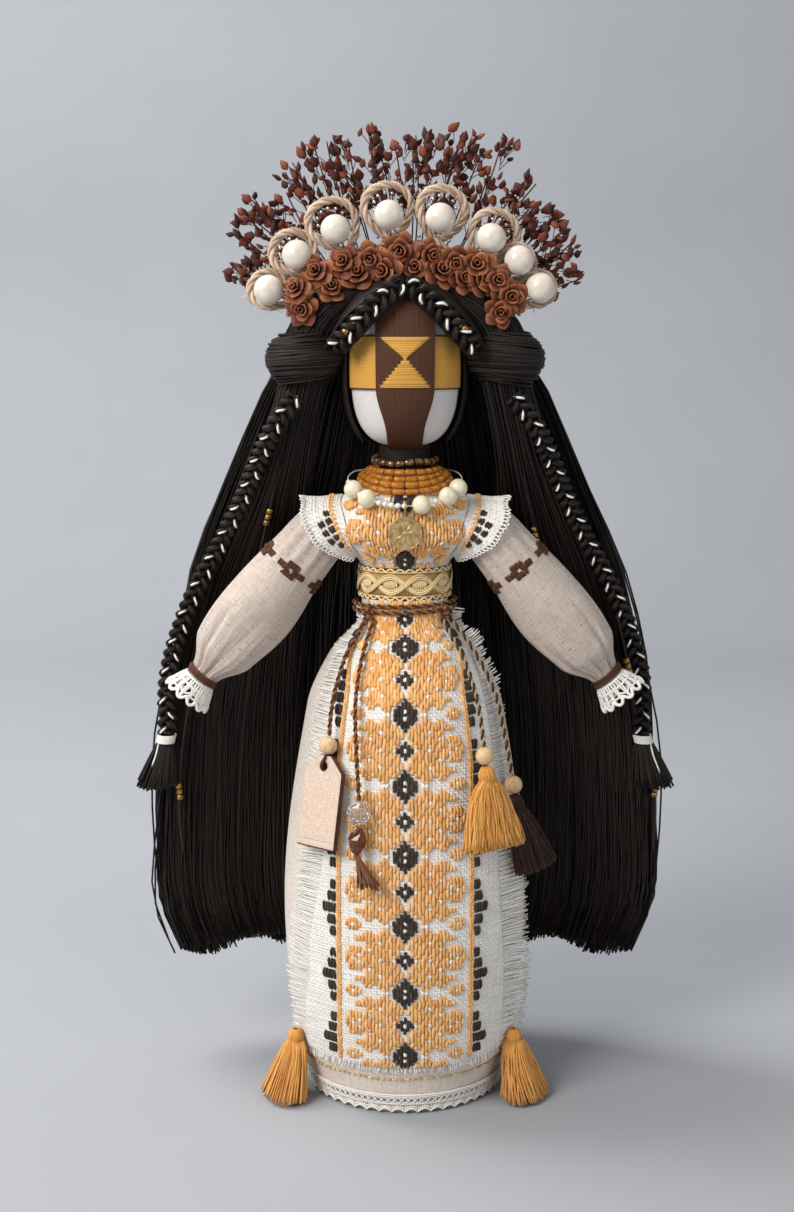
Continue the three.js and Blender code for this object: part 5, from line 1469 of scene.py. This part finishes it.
cream_line = string_line(266.2, 276.5, 4.8, 3.5)
cream_angles = np.radians([-46, -28, 11, 33, 49])
cream_balls = balls(cream_line(cream_angles), 4.1, 28, 18)
piece("cream_beads", cream_balls, necklace_cream, "cream_bead", ["cream_necklace"], weld=True)
seed_angles = np.radians(np.arange(-62, 63, 4.4))
apart = np.abs(seed_angles[:, None] - cream_angles[None]).min(axis=1)
seeds = balls(cream_line(seed_angles[apart > 0.125]), 1.3, 10, 7, (1, 1, 0.95))
piece("white_seed_beads", merge(seeds, round_string(cream_line, 0.3)), seed_white, "white_cotton",
      weld=True)


def ring_wire(centre, radius, wire):
    """Jump ring: a circle in the plane of y and z round the string."""
    turn = circle(40)
    return strands(np.array(centre) + radius * spot(0, np.cos(turn), np.sin(turn)), wire, 8, 0.5, True)


PENDANT_Y = -30.74
piece("pendant_ring_wire", ring_wire((0, PENDANT_Y, 267.55), 2.8, 0.5), old_brass, "old_brass",
      ["pendant_ring"], "pendant")


def coin():
    """Coin: a raised rim, 44 beads inside it, eight petals and a boss, as heights over both faces."""
    radius, middle_z = 7.4, 256.55
    rows = 30
    share = np.concatenate([np.linspace(0, 1, rows), np.linspace(1, 0, rows)])[:, None]
    turn = circle(176)[None]
    rim = 0.22 * np.exp(-((share - 0.96) / 0.03) ** 2)
    beads = 0.14 * np.exp(-((share - 0.86) / 0.045) ** 2) * (0.5 + 0.5 * np.cos(44 * turn))
    petal = 0.2 * ease(0.0, 0.8, np.abs(np.cos(4 * turn))) * np.exp(-((share - 0.42) / 0.22) ** 4)
    boss = 0.3 * np.exp(-(share / 0.13) ** 4)
    edge = 0.5 * np.sqrt(np.maximum(1 - np.maximum((share - 0.97) / 0.03, 0) ** 2, 0))
    face = np.concatenate([np.ones(rows), -np.ones(rows)])[:, None]
    high = face * (edge + (rim + beads + petal + boss) * (share < 0.99))
    reach = radius * share
    points = spot(reach * np.sin(turn), PENDANT_Y - high, middle_z + reach * np.cos(turn))
    return patch(points, False, True)


piece("coin_rosette", coin(), old_brass, "old_brass", ["coin"], "pendant", weld=True)

# %% [markdown]
# ## Hair
#
# The hair is fine dark yarn, sewn along a parting, drawn to both sides into a wound band, and let fall to
# the back in a wide curtain. Hair cards or a particle system would not travel to other programs, so each
# strand is a thin tube of three or four sides. All strands of a hank are one array of paths: over the head,
# then down a curtain that bows forward at its sides, each with its own depth, wave and length.

# %% Curtain of hair
CURTAIN_TOP, CURTAIN_SIDE_Y = 340, 27.5
hair_knots = [47, 83, 140.12, 226, 280.5, 330.78, 346.78]
hair_half = through(hair_knots, [105.3, 117, 115.2, 100.6, 79.6, 56.4, 43])
hair_back = through([47, 105, 314.8, 346.8], [60.7, 60.7, 37.4, 37.4])


def in_hair(share, z, off):
    """Place in the curtain: share of its half width at z, bowed forward with the square of the share."""
    back = hair_back(z)
    return spot(share * hair_half(z), back + (CURTAIN_SIDE_Y - back) * share**2 + off, z)


over_wide = through([0, 0.35, 0.7, 1], [14, 30, 42, 47.6])
over_back = through([0, 0.3, 0.6, 0.85, 1], [2, 19, 30.5, 36, 37.4])
over_high = through([0, 0.3, 0.6, 0.85, 1], [371.8, 369.8, 361, 350, 343])


def hank(low, high, count):
    """Strands of one hank: seven points over the head, then 16 down the curtain with a slow wave, which is
    wider for the strands nearest the front and back.

    Strands in the middle are tucked in towards the head by up to 6.5 mm, so no gap is left behind it, and
    a thin lining keeps light from shining through."""
    share = np.clip(draw(low - 0.02, high + 0.02, count), -1, 1)
    depth = draw(-4.4, 4.4, count)
    tuck = draw(0, 6.5, count) * (1 - share**2)
    end = 46 + 14 * draw(0, 1, count) ** 3 + 5 * np.cos(9 * share) ** 2
    fall = shares(16) ** 0.9
    z = CURTAIN_TOP + (end - CURTAIN_TOP) * fall
    sway = np.where(np.abs(depth) > 4.0, 0.034, 0.010)
    wave = sway * np.sin(z / 41 + draw(0, 6.3, count)) * ease(0, 0.5, fall)
    near = depth - tuck * np.exp(-(((z - CURTAIN_TOP) / 45) ** 2))
    lower = in_hair(share * (1 + 0.012 * np.sin(7 * share)) + wave, z, near)
    u = shares(7)
    back = over_back(u) - 9.9 * share**2 * u**2 + depth * (0.2 + 0.8 * u) - tuck * u
    over = spot(share * over_wide(u), back, over_high(u) + 0 * share)
    grid = np.linspace(low, high, 9)[None], np.linspace(341, 66, 30)[:, None]
    lining = slab(in_hair(*grid, 0.4), in_hair(*grid, -0.4), 0.1)
    return merge(strands(np.concatenate([over, lower], axis=1), 0.5, 3, tones(count, 0, 0.9)), lining)


for k in range(5):
    share_low = -1 + 0.4 * k
    piece(f"hair_fall_{k + 1}", hank(share_low, share_low + 0.4, 430), hair_yarn, "hair_thread",
          [f"hair_hank_{k + 1}"])

# %% Cap, side bunches and wound bands
part_height = through([-22, -8, 5, 18], [361, 369.5, 372.6, 370.5])


def cap_paths(sign, place, sink):
    """Lines from the parting to the side: each coordinate follows the share; place is y on the parting."""
    place = np.asarray(place, float)[:, None]
    high = part_height(place) - sink
    share = shares(14)
    knots = np.array([0, 0.2, 0.5, 0.85, 1.0])
    x = through(knots, [0.4, 12.0, 25, 36.5, 41])(share) * sign
    y = place * through(knots, [1, 1, 0.9, 0.5, 0.3])(share) - through(knots, [0, 1, 2.5, 2, 1.5])(share)
    drop = through(knots, [0, 3.2, 12, 29, 38])(share)
    level = high + (361 - high) * ease(0.1, 0.8, share)
    return spot(x * (1 - 0.05 * sink / 3), y, level - drop)


def cap():
    """Hair on the head: strands from the parting to each side, over a thin inner shell that closes gaps."""
    parts, count = [], 320
    for sign in (-1, 1):
        place = rng.uniform(-22, 18, count)
        sink = draw(-0.6, 1.0, count)
        parts.append(strands(cap_paths(sign, place, sink), 0.55, 3, tones(count, 0, 0.9)))
        rows = np.linspace(-21.5, 17.5, 24)
        parts.append(slab(cap_paths(sign, rows, 1.2), cap_paths(sign, rows, 2.6), 0.2))
    return merge(*parts, back_of_head())


def back_of_head():
    """Strands over the back of the head: each follows the head's outline, 2.4 to 3.4 mm off it.

    High on the back the layer is up to 6 mm thicker, so it meets the curtain."""
    count = 520
    turn = np.radians(np.linspace(64, -58, 12))[None]
    level = draw(0, 1, count)
    round_by = np.radians(draw(-106, 106, count))
    thicker = 6 * level * np.maximum(np.cos(round_by), 0) ** 2 * ease(0.1, 0.7, turn)
    radius, z = head_line(turn, 2.4 + level + thicker)
    paths = spot(radius * np.sin(round_by), radius * np.cos(round_by), z)
    return strands(paths, 0.55, 3, tones(count, 0, 0.9))


piece("hair_on_head", cap(), hair_yarn, "hair_thread", ["hair_cap"], weld=True)


def line_axes(line):
    """Side and front of a hanging line at each of its points, both square to it."""
    tangent = unit(np.gradient(line, axis=0))
    side = unit(np.cross(tangent, [0, 1, 0]))
    return side, np.cross(tangent, side)


def bunch(sign):
    """Bunch: strands fill an oval round its middle line as far as the wound band, then fan out below it.

    From z 316 on, a strand moves from its place in the oval to its place in the curtain by a smooth step."""
    count = 500
    knots = [(6, -9, 364), (21.5, -9, 358), (38.7, -4, 343.8), (43, -2, 330.8), (45, 0, 319)]
    middle = route(mirrored(knots, sign), 12)
    across, front = line_axes(middle)
    full = through([0, 0.3, 0.6, 0.75, 1], [0.2, 0.47, 0.8, 0.94, 0.82])(np.linspace(0, 1, 12))[None, :, None]
    a, b = scatter(count)
    upper = middle + full * (13.0 * a[..., None] * across - 11.0 * b[..., None] * front)
    end = 52 + 22 * draw(0, 1, count) ** 2
    z = 313 + (end - 313) * shares(17)
    wave = 0.012 * np.sin(z / 37 + draw(0, 6.3, count))
    outward = sign * a * np.sign(across[-1, 0])
    curtain = in_hair(sign * (0.70 + 0.28 * outward) + wave, z, -6.0 + 1.6 * b)
    straight = upper[:, -1:] + spot(sign * 0.25, 0.1, -1) * (upper[:, -1:, 2:3] - z[..., None])
    moved = ease(0, 1, (316 - z) / 110)[..., None]
    return strands(np.concatenate([upper, straight * (1 - moved) + curtain * moved], axis=1), 0.52, 3,
                   tones(count, 0, 0.9))


def band_round_bunch(sign):
    """Wound band: turns of yarn round the bunch, fuller in the middle, each tilted its own way."""
    count = 84
    turn = circle(40)[None]
    level = np.linspace(-1, 1, count)[:, None] + draw(-0.12, 0.12, count)
    full = np.sqrt(1 - 0.55 * np.minimum(level**2, 1)) + draw(-0.03, 0.03, count)
    tilt = 1.5 * draw(-1, 1, count) * np.sin(turn + draw(0, 6, count))
    x = sign * 43.6 + 17.2 * full * np.sin(turn)
    z = 331.6 + 9.8 * level + tilt - 1.2 * sign * np.sin(turn)
    rings = spot(x, -1.6 - 15.0 * full * np.cos(turn), z)
    return strands(rings, 0.52, 5, tones(count, 0.1, 1), closed=True)


for side, sign in SIDES:
    piece(f"bunch_{side}_strands", bunch(sign), hair_yarn, "hair_thread", [f"hair_bunch_{side}"])
    piece(f"bunch_{side}_band", band_round_bunch(sign), hair_yarn, "hair_thread", [f"hair_wrap_{side}"])

# %% [markdown]
# ## Braids
#
# Two thin braids hang from the bunches, laced with white cord and tied with white thread, and two smaller
# ones follow the hairline. In a flat braid each of three strands swings from side to side once a pitch and
# passes over and under twice as often, a third of a pitch after the next one.

# %% Braids
def braid(line, wide, deep, pitch, fibre, count, white):
    """Braid: strand k is at side = wide sin q, front = deep sin 2q, with q = 2 pi (run / pitch + k / 3).

    Each strand is a small bundle, and a white cord lies on the front of one of them."""
    side, front = line_axes(line)
    q = 2 * np.pi * (lengths(line)[None] / pitch + np.arange(3)[:, None] / 3)
    middle = line + (wide * np.sin(q))[..., None] * side + (deep * np.sin(2 * q))[..., None] * front
    bearing = 2 * np.pi * np.arange(count)[:, None] / count + lengths(line)[None] / pitch
    out = wide * 0.36
    ring = out * (np.cos(bearing)[..., None] * side + np.sin(bearing)[..., None] * front)
    bundles = (middle[:, None] + ring[None]).reshape(-1, len(line), 3)
    lace = middle[:1] + (out * (0.5 + 1.2 * np.sin(2 * q[:1])))[..., None] * front
    return strands(bundles, fibre, 4, tones(3 * count, 0.1, 0.9)), strands(lace, white, 6, 0.7)


def tuft(start, down, length, spread_x, spread_y, count):
    """Loose end: yarns leave the tie and spread with the 0.8th power of their share."""
    share = shares(8)
    a, b = scatter(count)
    reach = 0.22 + 0.78 * share**0.8
    run = (length * draw(0.8, 1, count) * share)[..., None]
    paths = start + run * down + spot(spread_x * a * reach, spread_y * b * reach, 0)
    return strands(paths, 0.5, 4, tones(count, 0, 0.9))


def hank_along(line, wide, deep, count):
    """Straight hank: each strand keeps its place in an oval of wide by deep across the line."""
    side, front = line_axes(line)
    a, b = scatter(count)
    oval = wide * a[..., None] * side + deep * b[..., None] * front
    return strands(line + oval, 0.5, 4, tones(count, 0, 0.9))


braid_knots = [(47, -14.9, 314.28), (56, -12.5, 302.28), (64, -2, 287.28), (72.5, 9, 268.28),
               (83, 17, 248.28), (99, 17, 217.28), (109, 17, 184.28), (110, 17, 158)]
front_knots = [(1.5, -21.5, 362), (5, -23, 359.6), (13.0, -26.2, 353.0), (21.5, -25.6, 343.8),
               (30, -20.5, 335.5)]
for side, sign in SIDES:
    line = route(mirrored(braid_knots, sign), 220)
    hair_part, white_part = braid(line, 3.1, 1.5, 14.0, 0.64, 8, 0.52)
    down, end = unit(np.array([sign * 0.24, 0, -1])), line[-1]
    loose = tuft(end, down, 27, 9.5, 5.0, 170)
    body = f"braid_{side}"
    piece(f"{body}_strands", merge(hair_part, loose), hair_yarn, "hair_thread", [body], body)
    piece(f"{body}_lacing", white_part, white_yarn, "white_thread", body=body)
    turn = np.linspace(0, 6, 150)
    ring = spot(3.9 * np.cos(2 * np.pi * turn), 3.9 * np.sin(2 * np.pi * turn), 0)
    bound = strands(end + ring + (0.4 + 0.6 * turn)[:, None] * down, 0.5, 5, 0.6)
    tail = route(end + mirrored([(3.5, -1, -2), (5, -3, -9), (8.5, -3, -18)], sign), 14)
    binding = merge(bound, strands(tail, 0.42, 5, 0.6))
    piece(f"{body}_binding", binding, white_yarn, "white_thread", [f"braid_tie_{side}"], body)
    edge = route(mirrored(front_knots, sign), 110)
    small_hair, small_white = braid(edge, 3.3, 1.5, 15.0, 0.68, 8, 0.6)
    small_hair = merge(small_hair, hank_along(edge[::5] + [0, 3.2, -1.0], 3.9, 1.8, 90))
    piece(f"hairline_{side}_braid", small_hair, hair_yarn, "hair_thread")
    piece(f"hairline_{side}_lacing", small_white, white_yarn, "white_thread")


def tube_stack(place, axis):
    """Three short metal tubes on a strand of hair."""
    axis = unit(np.array(axis, float))
    start = np.array([-3.9, -1.2, 1.5])[:, None, None] * axis + np.array(place, float)
    run = np.array([0, 0.15, 1.2, 2.25, 2.4])[None, :, None] * axis
    wall = np.array([1.3, 1.65, 1.65, 1.65, 1.3])[None]
    return strands(start + run, wall, 10, np.array([[0.8], [0.2], [0.8]]))


stack_places = [((-61.7, 10, 259.6), (0.28, 0, 1)), ((58.9, 10, 251.4), (-0.3, 0, 1)),
                ((-105.3, 20, 129.8), (-0.1, 0, 1)), ((117.0, 20, 131.0), (0.1, 0, 1)),
                ((102.2, 11.5, 191), (-0.3, 0, 1)), ((-23.5, -25.5, 344.0), (1, 0.2, 1)),
                ((23.5, -25.5, 345.0), (-1, 0.2, 1))]
stacks = merge(*[tube_stack(place, axis) for place, axis in stack_places])
piece("hair_tubes", stacks, gold_tube, "old_brass")
carrier_lines = [[(-56, 4, 285), (-60, 8.5, 266), (-61.7, 10, 259.6), (-64, 12, 250), (-67, 14, 238)],
                 [(52, 4, 283), (57, 8.5, 260), (58.9, 10, 251.4), (60, 11.5, 243), (62, 14, 232)],
                 [(-96, 20, 190), (-103, 20, 155), (-105.3, 20, 129.8), (-105.5, 20, 118), (-104, 21, 100)],
                 [(103, 20, 190), (112, 20, 158), (117.0, 20, 131), (117.5, 20, 118), (117, 21, 100)],
                 [(97, 12, 214), (100.5, 11.5, 199), (102.2, 11.5, 191), (104, 12, 180), (106, 13, 168)]]
carriers = strands(np.stack([route(line, 24) for line in carrier_lines]), 0.8, 5, tones(5))
piece("hair_tube_strands", carriers, hair_yarn, "hair_thread")

# %% [markdown]
# ## Crown
#
# The wreath stands on a wound band that arches over the head. In front is a row of small folded paper roses,
# behind them one long twine laid in eight loops with a cream bead in each, and at the back a fan of dried
# grass. Everything is placed by its angle on the arch and its distance out from the band.

# %% Band and roses
ARCH_WIDE, ARCH_HIGH, ARCH_MIDDLE = 50.12, 44.12, 330.78


def on_crown(angle, out, y):
    """Place on the arch: an ellipse of 50.1 by 44.1 mm in x and z, widened by out; angle in radians."""
    return spot((ARCH_WIDE + out) * np.cos(angle), y, ARCH_MIDDLE + (ARCH_HIGH + out) * np.sin(angle))


def crown_band():
    """Band: twine laid side by side along the arch in two layers."""
    angle = np.radians(np.linspace(34.5, 145.5, 60))[None]
    lower = on_crown(angle, 0.8, np.linspace(-3.8, 3.8, 5)[:, None] + 0 * angle)
    upper = on_crown(angle, 2.0, np.linspace(-2.9, 2.9, 4)[:, None] + 0 * angle)
    return strands(np.concatenate([lower, upper]), 0.95, 6, tones(9))


piece("crown_band_twine", crown_band(), jute_twine, "jute", ["crown_band"])
PETALS = ((2, 0.20, 0.1, 0.82, 1.4, 0.0), (3, 0.42, 0.0, 0.78, 1.15, 0.05),
          (4, 0.68, -0.15, 0.66, 0.92, 0.16), (5, 1.02, -0.3, 0.42, 0.76, 0.28))


def rose(centre, facing, spin, size):
    """Paper rose: four rings of cupped petals round the axis it faces; each petal is a thin closed sheet.

    A petal's radius and height follow its share from base to rim; outer petals draw in to a point, and the
    last third of each curls back. A ring is its count, rim, low and high edge, span and curl."""
    w = unit(np.array(facing, float))
    e = unit(np.cross(w, [0.2, 0.3, 0.93]))
    n = np.cross(w, e)
    across = np.linspace(-1, 1, 7)[None]
    share = np.linspace(0, 1, 7)[:, None]
    parts = []
    for count, rim, low, high, span, curl in PETALS:
        for k in range(count):
            turn = spin + 2 * np.pi * (k + 0.2 * rng.uniform(-1, 1)) / count
            turn = turn + across * span * (0.55 + 0.45 * share)
            bow = 1 - (0.1 + 0.36 * rim) * np.abs(across) ** 1.2
            reach = 0.08 + (rim - 0.08) * share**0.7 * bow + curl * ease(0.7, 1, share)
            height = low + (high - low) * share**0.85 * bow - curl * 0.8 * ease(0.75, 1, share)
            # Painted shade and painted highlight: the tone darkens towards each petal's base, in the heart of
            # the rose, and lifts at the curled rim; the random part is the paper's own variation.
            tone = -0.1 + 0.6 * share + 0.4 * ease(0.8, 1, share) + 0.2 * rng.uniform(-1, 1)
            ring = np.cos(turn)[..., None] * e + np.sin(turn)[..., None] * n
            def lay(inset):
                radius, rise = size * (reach - inset), size * (height + inset * 0.4)
                return centre + radius[..., None] * ring + rise[..., None] * w
            parts.append(slab(lay(0.0), lay(0.05), tone + 0 * across))
    return merge(*parts)


ROSE_PLACES = [(-44, 351.5), (-46, 360), (-37.5, 367.5), (-26, 371), (-14.5, 373), (-1.5, 376.5),
               (10.5, 374), (21.5, 371.5), (31, 370), (39.5, 363.5), (45, 357), (41, 350.5), (-32, 360.5),
               (-20, 366), (33, 362.5), (15, 367.5), (4.5, 369), (-8.5, 367.8), (25, 364.5)]


def garland():
    """Roses in two uneven rows, each tilted and sized a little differently."""
    roses = []
    for k, (x, z) in enumerate(ROSE_PLACES):
        tilt = rng.uniform(-0.4, 0.4, 2)
        facing = (x / 130 + tilt[0], -1, 0.15 + tilt[1])
        centre = np.array([x, -12.5 - 0.8 * (k % 2), z])
        roses.append(rose(centre, facing, 1.9 * k, rng.uniform(6.0, 7.2)))
    return merge(*roses)


piece("paper_roses", garland(), rose_paper, "rust_paper", ["rose_garland"], weld=True)

# %% Loops, beads and wire
loop_degrees = [151.5, 134, 116.5, 96, 77, 56.5, 43, 29.5]
loop_angles = np.radians(loop_degrees)
loop_knots = [0, *(np.arange(8) + 0.5), 8]
loop_along = through(loop_knots, np.radians([158, *loop_degrees, 23]))
loop_radius = through(loop_knots, [10.5, 10.5, 12, 13, 13, 13, 12.5, 9.5, 9.5, 9.5])


def loop_line(turn, shrink=1.0, forward=0.0):
    """One long twine in eight loops: it goes out and back once a turn while it moves along the arch."""
    angle = 2 * np.pi * turn
    radius = loop_radius(turn)
    at = loop_along(turn) - 0.9 * shrink * radius * np.sin(angle) / (ARCH_WIDE + 2)
    return on_crown(at, 4.6 + radius * (1 - shrink * np.cos(angle)), 4.18 * np.sin(angle) - forward)


def jute_loops():
    """Three-ply twine along the loops, a thinner looser turn beside it, and fibres that stand off it."""
    line = loop_line(np.linspace(0, 8, 420))
    turn = np.linspace(0.25, 7.75, 320)
    loose = loop_line(turn, 0.95 + 0.06 * np.sin(2.6 * turn), 1.6 * np.sin(1.7 * turn) - 1.5)
    twine = merge(ply(line, 1.9, 3, 15.0, (0.3, 0.5, 0.7)), ply(loose, 1.1, 2, 11.0, (0.4, 0.7)))
    count = 1800
    at = draw(0, 7.98, count)
    share = shares(4)
    root = loop_line(at + 0.012 * share)
    lean = unit(rng.normal(size=(count, 1, 3)))
    fuzz = root + lean * (1.0 + draw(0.6, 3.2, count) * share)[..., None]
    return merge(twine, strands(fuzz, 0.11, 3, tones(count, 0.5, 1)))


piece("jute_twine_loops", jute_loops(), jute_twine, "jute", ["jute_loops"])
BEAD_OUT, BEAD_Y, STEM_OUT, STEM_Y = 16.95, -9.68, 2.0, -2.0
crown_balls = balls(on_crown(loop_angles, BEAD_OUT, BEAD_Y), 6.5, 36, 24)
piece("crown_bead_balls", crown_balls, cream_polish, "cream_bead", ["crown_beads"], weld=True)


def bead_wires():
    """Wire stem of each bead: from the band up behind it."""
    share = shares(8)
    out = STEM_OUT + (BEAD_OUT - STEM_OUT) * share
    return strands(on_crown(loop_angles[:, None], out, STEM_Y + (BEAD_Y - STEM_Y) * share**2), 0.5, 6, 0.5)


seed_centre = loop_line(np.linspace(0.15, 7.85, 120), 0.72, 3.0)
wire_seeds = merge(balls(seed_centre, 0.8, 8, 6), bead_wires())
piece("silver_seed_wires", wire_seeds, silver_seed, "old_brass", weld=True)

# %% Dried grass
fan_reach = through([20, 31, 52, 70, 90, 109, 129, 143, 160], [30, 40, 51, 59, 57, 58, 51, 44, 32])


def buds(tips, outward):
    """Flat pointed buds: rings of six points whose size follows a bud's outline, turned to lean outwards."""
    total = len(tips)
    high = np.array([-1, -0.6, -0.1, 0.5, 1])[:, None]
    wide = np.array([0, 0.75, 1, 0.55, 0])[:, None]
    around = circle(6)[None]
    one = spot(wide * np.cos(around), wide * np.sin(around), high)
    size = rng.uniform(0.75, 1.35, (total, 1, 1, 1)) * np.array([1.9, 1.0, 2.6])
    third = unit(outward + 0.55 * rng.normal(size=(total, 3)))
    first = unit(np.cross(third, rng.normal(size=(total, 3))))
    axes = np.stack([first, np.cross(third, first), third], axis=1)
    seeds = np.einsum("nrcj,njk->nrck", one[None] * size, axes) + tips[:, None, None]
    return [patch(bud, wrap_cols=True, tone=t) for bud, t in zip(seeds, rng.uniform(0, 0.9, total))]


def grass():
    """Fan of grass: stems leave the band and bend outwards; buds sit on short twigs along the upper part.

    A stem's reach follows the fan's outline at its angle, and its buds spread to both sides."""
    count, heads = 40, 17
    degrees = np.linspace(152, 28, count)[:, None] + draw(-2, 2, count)
    angle = np.radians(degrees)
    reach = fan_reach(degrees) * draw(0.74, 1.02, count)
    deep = 8.7 + draw(-3.0, 5.0, count)
    share = shares(10)
    bend = draw(-0.05, 0.05, count) * share**2
    stems = strands(on_crown(angle + bend, 1.5 + reach * 0.96 * share, deep - 2 * share), 0.32, 4, 0.25)
    level = 1 - 0.64 * rng.uniform(0, 1, (count, heads)) ** 1.4
    side = rng.uniform(-1, 1, (count, heads)) * 5.0
    lift = rng.uniform(-3.0, 3.0, (count, heads))
    tip = on_crown(angle + side / (50 + reach * level), 1.5 + reach * level, deep + lift)
    foot = on_crown(angle, 1.5 + reach * (level - 0.12), deep - 2 * level)
    along = np.linspace(0, 1, 4)[None, :, None]
    tips, feet = tip.reshape(-1, 3), foot.reshape(-1, 3)
    twigs = strands(feet[:, None] + (tips - feet)[:, None] * along, 0.22, 3, 0.3)
    return merge(stems, twigs, *buds(tips, unit(tips - [0, 8, 331])))


piece("grass_sprigs", grass(), grass_paper, "dried_grass", ["dried_grass"], weld=True)
